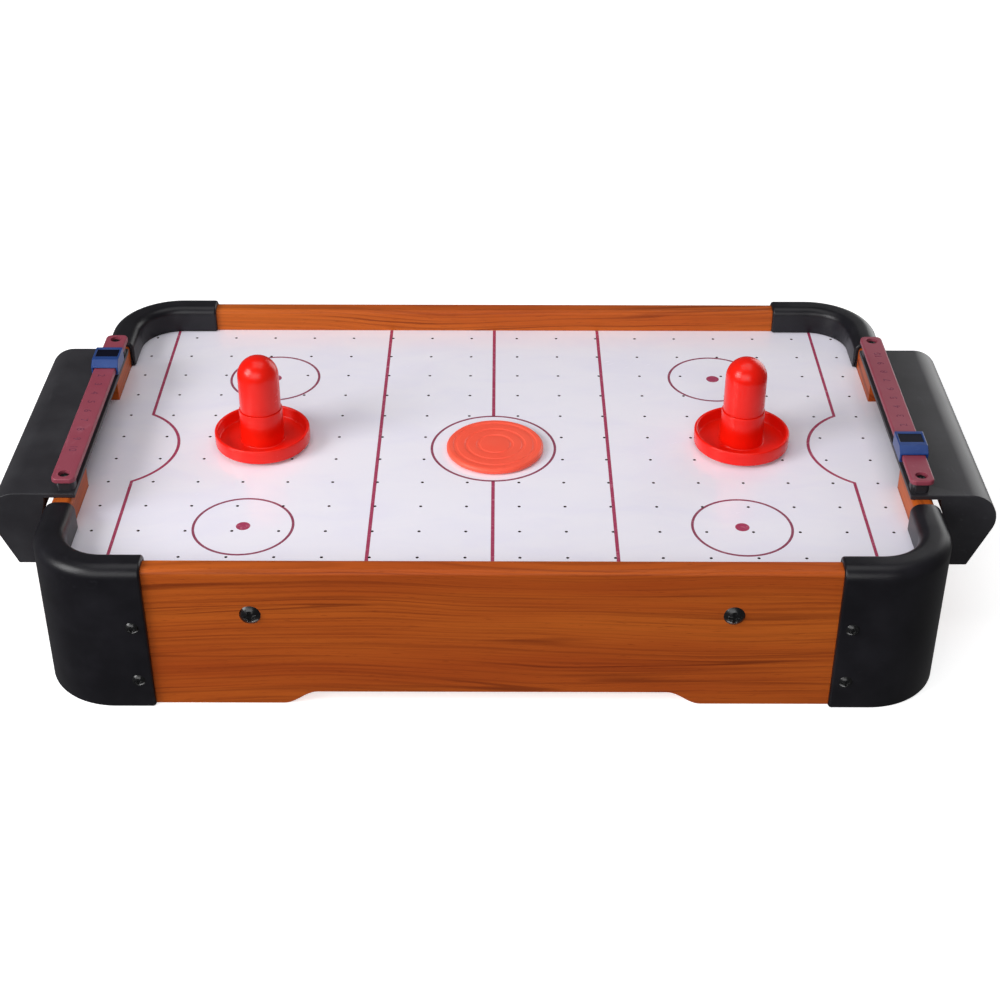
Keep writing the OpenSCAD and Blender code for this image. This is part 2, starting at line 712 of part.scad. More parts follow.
red_route = [[64.8, 20, 40], [58, 30, 41], [48, 44, 42], [28, 60, 43], [0, 66, 43.6],
    [-28, 60, 43], [-52, 42, 42], [-70, 16, 41], [-82.8, 5, 40]];
black_route = [[64.8, -20, 36], [58, -18, 30], [50, -14, 20], [38, -9, 14.5], [20, -4, 13.2], [9, -1, 14], [5, 0, 16.6], [5, 0, 19.4]];
switch_route = [[-82.8, -5, 36], [-74, -7, 32], [-60, -9, 22], [-42, -8, 14.5], [-22, -4, 13.2], [-9, -1, 14], [-5, 0, 16.6], [-5, 0, 19.4]];

module red_wire() color("#C02020") wire(smooth_route(red_route), wire_d);
module black_wire() color("#202020") wire(smooth_route(black_route), wire_d);
module switch_wire() color("#C02020") wire(smooth_route(switch_route), wire_d);

front_side_panel();
rear_side_panel();
left_end_panel();
right_end_panel();
front_left_corner_cap();
front_right_corner_cap();
rear_left_corner_cap();
rear_right_corner_cap();
corner_blocks();
playing_board();
chamber_floor();
left_cross_brace();
right_cross_brace();
front_ledgers();
rear_ledgers();
left_ledger();
right_ledger();
side_panel_screws();
corner_cap_screws();
floor_screws();
left_goal_hood();
right_goal_hood();
left_score_bar();
right_score_bar();
score_bar_screws();
left_score_slider();
right_score_slider();
left_slider_window();
right_slider_window();
left_striker_base();
left_striker_knob();
left_striker_felt();
right_striker_base();
right_striker_knob();
right_striker_felt();
puck();
fan_duct();
fan_grille();
fan_motor();
motor_shaft();
fan_impeller();
fan_screws();
battery_box();
battery_door();
battery_cells();
battery_contacts();
switch_housing();
switch_rocker();
bracket_screws();
red_wire();
black_wire();
switch_wire();
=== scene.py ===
"""Looks of a tabletop air hockey table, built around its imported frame.

The table has wood-grain panels, black corner caps, a glossy white playing board with
printed markings, goal hoods, score bars, strikers, a puck and a small fan unit below.
Sizes are in metres, +Z is up and +X runs towards the right goal.
"""

import json
import logging
import math
from collections.abc import Callable, Iterable, Mapping, Sequence
from dataclasses import dataclass, field
from enum import Enum

import bmesh
import bpy
from mathutils import Matrix, Vector

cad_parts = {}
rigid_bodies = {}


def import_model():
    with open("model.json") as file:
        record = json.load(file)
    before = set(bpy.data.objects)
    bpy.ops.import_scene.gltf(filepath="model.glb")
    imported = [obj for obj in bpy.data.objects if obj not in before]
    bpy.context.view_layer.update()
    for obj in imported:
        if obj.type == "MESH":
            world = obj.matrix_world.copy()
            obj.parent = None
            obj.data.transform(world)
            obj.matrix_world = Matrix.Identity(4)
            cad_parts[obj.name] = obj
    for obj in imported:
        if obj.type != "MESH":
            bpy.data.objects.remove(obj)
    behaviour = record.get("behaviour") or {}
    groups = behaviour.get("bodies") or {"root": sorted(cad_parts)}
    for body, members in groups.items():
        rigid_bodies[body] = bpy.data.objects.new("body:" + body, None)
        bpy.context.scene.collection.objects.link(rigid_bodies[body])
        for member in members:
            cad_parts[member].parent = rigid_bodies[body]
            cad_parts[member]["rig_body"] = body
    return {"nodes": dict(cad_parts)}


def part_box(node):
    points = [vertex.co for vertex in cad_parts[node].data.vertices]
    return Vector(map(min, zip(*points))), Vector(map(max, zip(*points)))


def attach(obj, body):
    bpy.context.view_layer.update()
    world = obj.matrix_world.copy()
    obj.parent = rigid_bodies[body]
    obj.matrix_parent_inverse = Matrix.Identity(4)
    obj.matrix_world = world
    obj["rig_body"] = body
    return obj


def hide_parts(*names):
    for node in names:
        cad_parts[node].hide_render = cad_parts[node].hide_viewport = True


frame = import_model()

log = logging.getLogger("air_hockey_table")

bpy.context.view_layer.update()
MM = 0.001
WELD = 0.000002
WHITE = (1.0, 1.0, 1.0, 1.0)

Colour = tuple[float, float, float]
Point2 = tuple[float, float]
Point3 = tuple[float, float, float]


class Side(Enum):
    """The two ends of the table, with the sign of their X."""

    LEFT = -1
    RIGHT = 1

    @property
    def word(self) -> str:
        """The end's name as it stands in the frame's node names."""
        return self.name.lower()


class Axis(Enum):
    """The axis along which the grain of a board runs."""

    X = 0
    Y = 1


def tint(red: int, green: int, blue: int) -> Colour:
    """Turns a display colour into the linear one that shaders take.

    Args:
        red: Red from 0 to 255.
        green: Green from 0 to 255.
        blue: Blue from 0 to 255.

    Returns:
        The three linear values.
    """
    def linear(byte: int) -> float:
        """One channel, by the display's curve."""
        c = byte / 255
        return c / 12.92 if c <= 0.04045 else ((c + 0.055) / 1.055) ** 2.4

    return linear(red), linear(green), linear(blue)


# ---------------------------------------------------------------- shader graphs


class Signal:
    """One output socket of a shader tree. Arithmetic on it adds Math nodes."""

    def __init__(self, graph: "Graph", socket: bpy.types.NodeSocket) -> None:
        """Keeps the socket and the graph it belongs to."""
        self.graph = graph
        self.socket = socket

    def _math(self, operation: str, first: object, second: object = None) -> "Signal":
        """Adds a Math node with one or two operands."""
        values = {"Value": first} if second is None else {"Value": first, "Value_001": second}
        return self.graph.add("ShaderNodeMath", {"operation": operation}, values)

    def __add__(self, other: object) -> "Signal":
        """The sum."""
        return self._math("ADD", self, other)

    def __radd__(self, other: object) -> "Signal":
        """The sum, from the right."""
        return self._math("ADD", other, self)

    def __sub__(self, other: object) -> "Signal":
        """The difference."""
        return self._math("SUBTRACT", self, other)

    def __rsub__(self, other: object) -> "Signal":
        """The difference, from the right."""
        return self._math("SUBTRACT", other, self)

    def __mul__(self, other: object) -> "Signal":
        """The product."""
        return self._math("MULTIPLY", self, other)

    def __rmul__(self, other: object) -> "Signal":
        """The product, from the right."""
        return self._math("MULTIPLY", other, self)

    def __abs__(self) -> "Signal":
        """The size without its sign."""
        return self._math("ABSOLUTE", self)

    def sine(self) -> "Signal":
        """The sine of the value in radians."""
        return self._math("SINE", self)

    def ramp(self, low: float, high: float) -> "Signal":
        """A smooth step: 0 up to low, 1 from high on."""
        return self.graph.add(
            "ShaderNodeMapRange", {"interpolation_type": "SMOOTHSTEP"},
            {"Value": self, "From Min": low, "From Max": high}, "Result")


class Graph:
    """The node tree of one finish, or of the surround, from its coordinates to its output."""

    def __init__(self, name: str, world: bool = False) -> None:
        """Starts an empty material or world.

        Args:
            name: Its name.
            world: Whether it is a world.
        """
        self.owner = (bpy.data.worlds if world else bpy.data.materials).new(name)
        self.owner.use_nodes = True
        self.tree = self.owner.node_tree
        self.tree.nodes.clear()

    def add(self, kind: str, settings: Mapping[str, object] | None = None,
            inputs: Mapping[str, object] | None = None, output: str = "") -> Signal:
        """Adds a node of any type.

        Args:
            kind: The node's type.
            settings: Properties set first.
            inputs: Values or signals by the socket's identifier or name.
            output: The output's identifier or name; the first one if empty.

        Returns:
            The chosen output.
        """
        node = self._place(kind, settings or {}, inputs or {})
        return Signal(self, self._find(node.outputs, output) if output else node.outputs[0])

    def _place(self, kind: str, settings: Mapping[str, object],
               inputs: Mapping[str, object]) -> bpy.types.Node:
        """Makes a node, sets its properties, and then sets or links its sockets."""
        node = self.tree.nodes.new(kind)
        for key, value in settings.items():
            setattr(node, key, value)
        for key, value in inputs.items():
            socket = self._find(node.inputs, key)
            if isinstance(value, Signal):
                self.tree.links.new(value.socket, socket)
            else:
                socket.default_value = value
        return node

    @staticmethod
    def _find(sockets: Iterable[bpy.types.NodeSocket], key: str) -> bpy.types.NodeSocket:
        """The socket with that identifier, or else with that name."""
        found = [s for s in sockets if s.identifier == key] or [s for s in sockets if s.name == key]
        return found[0]

    def axes(self) -> tuple[Signal, Signal, Signal]:
        """The place on the piece along X, Y and Z, in metres."""
        place = self.add("ShaderNodeTexCoord", output="Object")
        return tuple(self.add("ShaderNodeSeparateXYZ", {}, {"Vector": place}, k) for k in "XYZ")

    def facing_up(self) -> Signal:
        """The Z part of the surface's own direction."""
        normal = self.add("ShaderNodeNewGeometry", output="Normal")
        return self.add("ShaderNodeSeparateXYZ", {}, {"Vector": normal}, "Z")

    def point(self, x: object, y: object, z: object) -> Signal:
        """Three values as one vector."""
        return self.add("ShaderNodeCombineXYZ", {}, {"X": x, "Y": y, "Z": z})

    def noise(self, at: Signal, scale: float = 1.0, detail: float = 2.0, roughness: float = 0.5,
              distortion: float = 0.0) -> Signal:
        """Smooth noise from 0 to 1.

        Args:
            at: The coordinates.
            scale: Cells per unit of the coordinates.
            detail: Octaves.
            roughness: Weight of the finer octaves.
            distortion: Warp of the coordinates.

        Returns:
            The value.
        """
        return self.add("ShaderNodeTexNoise", {"noise_dimensions": "3D"}, {
            "Vector": at, "Scale": scale, "Detail": detail, "Roughness": roughness,
            "Distortion": distortion}, "Fac")

    def mix(self, share: object, first: object, second: object) -> Signal:
        """Blends two colours: the first at share 0, the second at share 1."""
        named = {"Factor_Float": share, "A_Color": first, "B_Color": second}
        full = {k: (*v, 1.0) if isinstance(v, tuple) and len(v) == 3 else v for k, v in named.items()}
        return self.add("ShaderNodeMix", {"data_type": "RGBA"}, full, "Result_Color")

    def bump(self, height: Signal, distance: float, strength: float = 1.0) -> Signal:
        """Turns a height into a surface direction.

        Args:
            height: The height, from 0 to 1.
            distance: What a height of 1 stands for, in metres.
            strength: Share of the effect.

        Returns:
            The direction, for a shader's Normal.
        """
        return self.add("ShaderNodeBump", {}, {
            "Height": height, "Distance": distance, "Strength": strength}, "Normal")

    def surface(self, colour: object, roughness: object, **sockets: object) -> bpy.types.Material:
        """Adds the Principled shader and the output.

        Args:
            colour: Base colour, a tuple or a signal.
            roughness: Roughness, a number or a signal.
            sockets: Other sockets, with _ in place of a space in their names.

        Returns:
            The finished material.
        """
        base = (*colour, 1.0) if isinstance(colour, tuple) else colour
        named = {key.replace("_", " "): value for key, value in sockets.items()}
        shader = self.add("ShaderNodeBsdfPrincipled", {}, {
            "Base Color": base, "Roughness": roughness, **named})
        self.add_output(shader)
        return self.owner

    def add_output(self, shader: Signal, kind: str = "ShaderNodeOutputMaterial") -> None:
        """Links a shader to a new output node of that type."""
        self._place(kind, {}, {"Surface": shader})


# ---------------------------------------------------------------- finishes


@dataclass(frozen=True)
class WoodFoil:
    """Satin wood-grain foil. The grain wanders, and dark veins and short pores follow it."""

    name: str
    along: Axis
    pale: Colour = tint(196, 98, 34)
    body: Colour = tint(174, 76, 27)
    vein: Colour = tint(98, 34, 14)
    figure: float = 62.0
    rings: float = 46.0
    streaks: float = 560.0
    wander: float = 0.030

    def material(self) -> bpy.types.Material:
        """The foil as a material."""
        g = Graph(self.name)
        x, y, z = g.axes()
        along, across = (x, y) if self.along is Axis.X else (y, x)
        slow = g.noise(g.point(along * 3.2, across * 6.0, z * 9.0), detail=2.0)
        jitter = g.noise(g.point(along * 22.0, across * 30.0, z * 240.0), detail=1.0)
        lift = z + across * 0.55 + (slow - 0.5) * self.wander + (jitter - 0.5) * 0.0012
        cloud = g.noise(g.point(along * 2.2, across * 5.0, z * 26.0 + 2.0), detail=3.0, roughness=0.55)
        figure = g.noise(g.point(along * 1.5, lift * self.figure, 2.0), detail=1.0)
        ring = (figure * self.rings).sine().ramp(0.72, 1.0)
        presence = g.noise(g.point(along * 5.0, lift * 90.0, 6.0), detail=2.0).ramp(0.42, 0.66)
        streak = g.noise(g.point(along * 4.5, lift * self.streaks, 4.0), detail=3.0, roughness=0.6)
        fibre = g.noise(g.point(along * 55.0, lift * 2600.0, across * 300.0), detail=2.0)
        pore = g.noise(g.point(along * 130.0, lift * 2100.0, across * 2100.0), detail=1.0)
        colour = g.mix(cloud.ramp(0.34, 0.66), self.body, self.pale)
        colour = g.mix(ring * presence * 0.55, colour, self.vein)
        colour = g.mix(streak.ramp(0.44, 0.70) * 0.38, colour, self.vein)
        colour = g.mix(fibre.ramp(0.45, 0.85) * 0.22, colour, self.vein)
        colour = g.mix(pore.ramp(0.66, 0.78) * 0.4, colour, self.vein)
        height = fibre * 0.5 + pore * -0.5 + streak * 0.3
        return g.surface(colour, fibre * 0.10 + 0.33, Normal=g.bump(height, 0.00005, 0.5),
                         Specular_IOR_Level=0.13)


@dataclass(frozen=True)
class RawWood:
    """Unfinished softwood of the strips, braces and blocks, with end grain and saw marks."""

    name: str = "raw_wood"
    pale: Colour = tint(214, 178, 128)
    dark: Colour = tint(168, 122, 74)

    def material(self) -> bpy.types.Material:
        """The wood as a material."""
        g = Graph(self.name)
        x, y, z = g.axes()
        ring = g.noise(g.point(x * 9.0, y * 9.0, z * 220.0), detail=3.0, roughness=0.6, distortion=0.4)
        saw = ((x + y) * 5200.0 + ring * 2.0).sine() * 0.5 + 0.5
        fuzz = g.noise(g.point(x, y, z), scale=1400.0, detail=2.0)
        colour = g.mix(ring.ramp(0.35, 0.7), self.pale, self.dark)
        colour = g.mix(fuzz.ramp(0.5, 0.9) * 0.35, colour, self.dark)
        return g.surface(colour, 0.78, Normal=g.bump(saw * 0.35 + fuzz * 0.65, 0.00012, 0.6))


@dataclass(frozen=True)
class Hardboard:
    """Pressed brown hardboard with loose fibres."""

    name: str = "hardboard"
    body: Colour = tint(132, 96, 62)
    dark: Colour = tint(88, 60, 38)

    def material(self) -> bpy.types.Material:
        """The board as a material."""
        g = Graph(self.name)
        x, y, z = g.axes()
        place = g.point(x, y, z)
        fibre = g.noise(place, scale=900.0, detail=4.0, roughness=0.7, distortion=1.2)
        cloud = g.noise(place, scale=26.0, detail=3.0)
        colour = g.mix(fibre.ramp(0.4, 0.72) * 0.8, self.body, self.dark)
        colour = g.mix(cloud.ramp(0.4, 0.7) * 0.3, colour, self.dark)
        return g.surface(colour, cloud * 0.2 + 0.5, Normal=g.bump(fibre, 0.00008, 0.5))


@dataclass(frozen=True)
class Moulded:
    """Moulded plastic: fine spark-eroded grain, cloudy gloss, and scuffs from handling."""

    name: str
    body: Colour
    worn: Colour
    roughness: float = 0.42
    grain: float = 0.00003
    grain_scale: float = 2600.0
    cloud: float = 0.12
    scuffs: float = 0.25
    coat: float = 0.0
    gloss: float = 0.35

    def material(self) -> bpy.types.Material:
        """The plastic as a material."""
        g = Graph(self.name)
        x, y, z = g.axes()
        place = g.point(x, y, z)
        grain = g.noise(place, scale=self.grain_scale, detail=2.0)
        cloud = g.noise(place, scale=34.0, detail=3.0, roughness=0.6)
        scuff = g.noise(g.point(x * 240.0, y * 60.0, z * 620.0), detail=3.0, distortion=0.8)
        patch = g.noise(place, scale=18.0, detail=1.0)
        worn = scuff.ramp(0.60, 0.74) * patch.ramp(0.48, 0.66) * self.scuffs
        colour = g.mix(worn, g.mix(cloud.ramp(0.3, 0.8) * 0.22, self.body, self.worn), self.worn)
        roughness = (cloud - 0.5) * self.cloud + worn * 0.2 + self.roughness
        return g.surface(colour, roughness, Coat_Weight=self.coat, Coat_Roughness=0.14,
                         Specular_IOR_Level=self.gloss, Normal=g.bump(grain, self.grain, 0.8))


@dataclass(frozen=True)
class Laminate:
    """Glossy white foil on brown fibreboard; the cut edges and the holes show the board."""

    name: str = "playing_surface"
    face: Colour = tint(248, 245, 255)
    shade: Colour = tint(238, 235, 253)
    core: Colour = tint(74, 60, 56)

    def material(self) -> bpy.types.Material:
        """The foil and its board as a material."""
        g = Graph(self.name)
        x, y, z = g.axes()
        place = g.point(x, y, z)
        smear = g.noise(g.point(x * 16.0, y * 34.0, z), detail=3.0, roughness=0.6, distortion=0.5)
        peel = g.noise(place, scale=420.0, detail=1.0)
        hairline = g.noise(g.point(x * 90.0 + y * 40.0, y * 900.0 - x * 500.0, z), detail=1.0)
        face = g.mix(smear.ramp(0.35, 0.75) * 0.5, self.face, self.shade)
        cut = 1 - abs(g.facing_up()).ramp(0.5, 0.8)
        rough = smear * 0.10 + hairline.ramp(0.64, 0.72) * 0.08 + 0.13 + cut * 0.5
        return g.surface(g.mix(cut, face, self.core), rough, Coat_Weight=0.25,
                         Coat_Roughness=0.08, Normal=g.bump(peel, 0.000015, 0.4))


@dataclass(frozen=True)
class Ink:
    """Screen-printed ink: a little uneven, with pinholes."""

    name: str
    body: Colour
    thin: Colour

    def material(self) -> bpy.types.Material:
        """The ink as a material."""
        g = Graph(self.name)
        x, y, z = g.axes()
        place = g.point(x, y, z)
        density = g.noise(place, scale=300.0, detail=3.0, roughness=0.7)
        screen = g.noise(place, scale=2600.0, detail=1.0)
        worn = density.ramp(0.42, 0.8) * 0.6 + screen.ramp(0.6, 0.8) * 0.25
        colour = g.mix(worn, self.body, self.thin)
        return g.surface(colour, density * 0.12 + 0.2, Normal=g.bump(screen, 0.00001, 0.4))


@dataclass(frozen=True)
class Felt:
    """Thin wool felt under a striker."""

    name: str = "felt"
    body: Colour = tint(226, 224, 214)
    shade: Colour = tint(180, 176, 162)

    def material(self) -> bpy.types.Material:
        """The felt as a material."""
        g = Graph(self.name)
        x, y, z = g.axes()
        place = g.point(x, y, z)
        hair = g.noise(place, scale=1500.0, detail=4.0, roughness=0.75, distortion=2.2)
        lump = g.noise(place, scale=210.0, detail=2.0)
        colour = g.mix(hair.ramp(0.35, 0.7) * 0.7, self.body, self.shade)
        return g.surface(colour, 0.92, Sheen_Weight=0.35, Sheen_Roughness=0.5,
                         Normal=g.bump(hair * 0.7 + lump * 0.3, 0.00025, 0.8))


@dataclass(frozen=True)
class Metal:
    """Plated or painted steel with turning marks, stains and rubbed spots."""

    name: str
    body: Colour
    dark: Colour
    metallic: float = 1.0
    roughness: float = 0.3
    rubbed: Colour = tint(150, 150, 152)
    rub: float = 0.15

    def material(self) -> bpy.types.Material:
        """The metal as a material."""
        g = Graph(self.name)
        x, y, z = g.axes()
        place = g.point(x, y, z)
        stain = g.noise(place, scale=420.0, detail=3.0, roughness=0.65)
        scratch = g.noise(g.point(x * 900.0, y * 5200.0, z * 900.0), detail=2.0)
        rub = scratch.ramp(0.6, 0.75) * self.rub
        colour = g.mix(stain.ramp(0.4, 0.8) * 0.7, self.body, self.dark)
        return g.surface(g.mix(rub, colour, self.rubbed), stain * 0.18 + self.roughness - 0.05,
                         Metallic=self.metallic, Normal=g.bump(scratch, 0.00001, 0.5))


@dataclass(frozen=True)
class CellSleeve:
    """Shrink sleeve of the dry cells: gold shoulders and a dark band, metal at both ends."""

    middle: float
    half_length: float
    name: str = "cell_wrap"
    gold: Colour = tint(206, 158, 62)
    dark: Colour = tint(34, 34, 40)
    metal: Colour = tint(190, 190, 192)

    def material(self) -> bpy.types.Material:
        """The sleeve as a material."""
        g = Graph(self.name)
        x, y, z = g.axes()
        reach = abs(x - self.middle)
        film = g.noise(g.point(x * 60.0, y * 400.0, z * 400.0), detail=2.0)
        band = 1 - (reach + film * 0.0006).ramp(self.half_length * 0.45, self.half_length * 0.47)
        end = reach.ramp(self.half_length - 0.0012, self.half_length - 0.0008)
        colour = g.mix(band, g.mix(film.ramp(0.4, 0.8) * 0.3, self.gold, self.dark), self.dark)
        return g.surface(g.mix(end, colour, self.metal), film * 0.15 + 0.2,
                         Metallic=end * 0.9, Normal=g.bump(film, 0.00003, 0.5))


@dataclass(frozen=True)
class StudioFloor:
    """Plain pale paper on which the table stands, clear from below."""

    name: str = "studio_floor"
    body: Colour = (0.86, 0.86, 0.865)
    glow: float = 0.6

    def material(self) -> bpy.types.Material:
        """The paper as a material."""
        g = Graph(self.name)
        x, y, z = g.axes()
        tooth = g.noise(g.point(x, y, z), scale=700.0, detail=2.0)
        pale = tuple(c * 0.985 for c in self.body)
        paper = g.add("ShaderNodeBsdfPrincipled", {}, {
            "Base Color": g.mix(tooth.ramp(0.4, 0.7), self.body, pale), "Roughness": 0.9,
            "Normal": g.bump(tooth, 0.0001, 0.15), "Emission Color": WHITE,
            "Emission Strength": self.glow})
        below = g.add("ShaderNodeNewGeometry", {}, {}, "Backfacing")
        clear = g.add("ShaderNodeBsdfTransparent", {}, {})
        g.add_output(g.add("ShaderNodeMixShader", {}, {
            "Fac": below, "Shader": paper, "Shader_001": clear}))
        return g.owner


@dataclass
class Palette:
    """Every finish of the table, one material each, by its name."""

    materials: dict[str, bpy.types.Material] = field(default_factory=dict)

    def __post_init__(self) -> None:
        """Makes the materials that need nothing but their own numbers."""
        low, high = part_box("battery_cells")
        black, soot = tint(17, 16, 21), tint(54, 53, 60)
        for finish in (
            WoodFoil("wood_long", Axis.X),
            WoodFoil("wood_end", Axis.Y),
            RawWood(),
            Hardboard(),
            Moulded("cap_plastic", black, soot, roughness=0.36, scuffs=0.2, gloss=0.3),
            Moulded("hood_plastic", tint(40, 39, 43), tint(84, 84, 88), roughness=0.40, scuffs=0.2,
                    gloss=0.3),
            Moulded("score_pink", tint(140, 60, 76), tint(166, 98, 112), roughness=0.42,
                    grain_scale=1500.0, cloud=0.16, scuffs=0.5),
            Moulded("slider_blue", tint(17, 53, 118), tint(84, 122, 186), roughness=0.3,
                    grain_scale=1800.0, scuffs=0.2, coat=0.1),
            # slider_window: a dark smoked window insert; its near-black colour also stands in for painted
            # shade inside the slider's deep window pocket
            Moulded("slider_window", tint(5, 6, 22), tint(20, 24, 50), roughness=0.45,
                    grain=0.000004, scuffs=0.15, gloss=0.1),
            Moulded("striker_red", tint(236, 20, 5), tint(242, 56, 34), roughness=0.26,
                    grain=0.00001, grain_scale=1200.0, cloud=0.08, scuffs=0.12, coat=0.05, gloss=0.3),
            Moulded("puck_orange", tint(255, 90, 66), tint(255, 132, 106), roughness=0.4,
                    grain_scale=1800.0, scuffs=0.3, coat=0.1),
            Moulded("fan_plastic", tint(44, 44, 48), tint(92, 92, 96), roughness=0.5, scuffs=0.2),
            Moulded("wire_red", tint(176, 26, 24), tint(214, 90, 80), roughness=0.45, scuffs=0.1),
            Moulded("wire_black", tint(30, 30, 32), tint(80, 80, 84), roughness=0.45, scuffs=0.1),
            Laminate(),
            Ink("marking_ink", tint(168, 62, 94), tint(186, 104, 128)),
            Ink("ring_ink", tint(146, 70, 94), tint(168, 106, 126)),
            Ink("number_ink", tint(120, 60, 80), tint(134, 72, 90)),
            Felt(),
            Metal("black_screw", tint(15, 15, 17), tint(7, 7, 8), 0.0, 0.2, rub=0.08),
            Metal("steel", tint(206, 206, 202), tint(150, 148, 138), 1.0, 0.28),
            CellSleeve((low.x + high.x) / 2, (high.x - low.x) / 2),
            StudioFloor(),
        ):
            self.materials[finish.name] = finish.material()

    def __getitem__(self, name: str) -> bpy.types.Material:
        """The material of that name."""
        return self.materials[name]


# ---------------------------------------------------------------- mesh making


def arc(centre: Point2, radius: float, start: float, end: float, steps: int) -> list[Point2]:
    """Points of a circular arc.

    Args:
        centre: The arc's centre.
        radius: Its radius.
        start: First angle in degrees.
        end: Last angle in degrees.
        steps: Number of chords.

    Returns:
        The points, both ends included.
    """
    angles = [math.radians(start + (end - start) * i / steps) for i in range(steps + 1)]
    return [(centre[0] + radius * math.cos(a), centre[1] + radius * math.sin(a)) for a in angles]


def filleted(corners: Sequence[tuple[float, float, float]], steps: int = 5) -> list[Point2]:
    """Rounds the inner corners of an open outline.

    Args:
        corners: Two coordinates and a radius for each corner; a radius of 0 keeps it sharp.
        steps: Chords in each rounded corner.

    Returns:
        The outline's points.
    """
    outline: list[Point2] = []
    for i, (a, b, radius) in enumerate(corners):
        here = Vector((a, b))
        if radius <= 0 or i in (0, len(corners) - 1):
            outline.append((a, b))
            continue
        back = (Vector(corners[i - 1][:2]) - here).normalized()
        ahead = (Vector(corners[i + 1][:2]) - here).normalized()
        half = back.angle(ahead) / 2
        reach = radius / math.tan(half)
        middle = here + (back + ahead).normalized() * (radius / math.sin(half))
        start, end = here + back * reach - middle, here + ahead * reach - middle
        turn = start.angle_signed(end)
        for k in range(steps + 1):
            p = middle + Matrix.Rotation(-turn * k / steps, 2) @ start
            outline.append((p.x, p.y))
    return outline


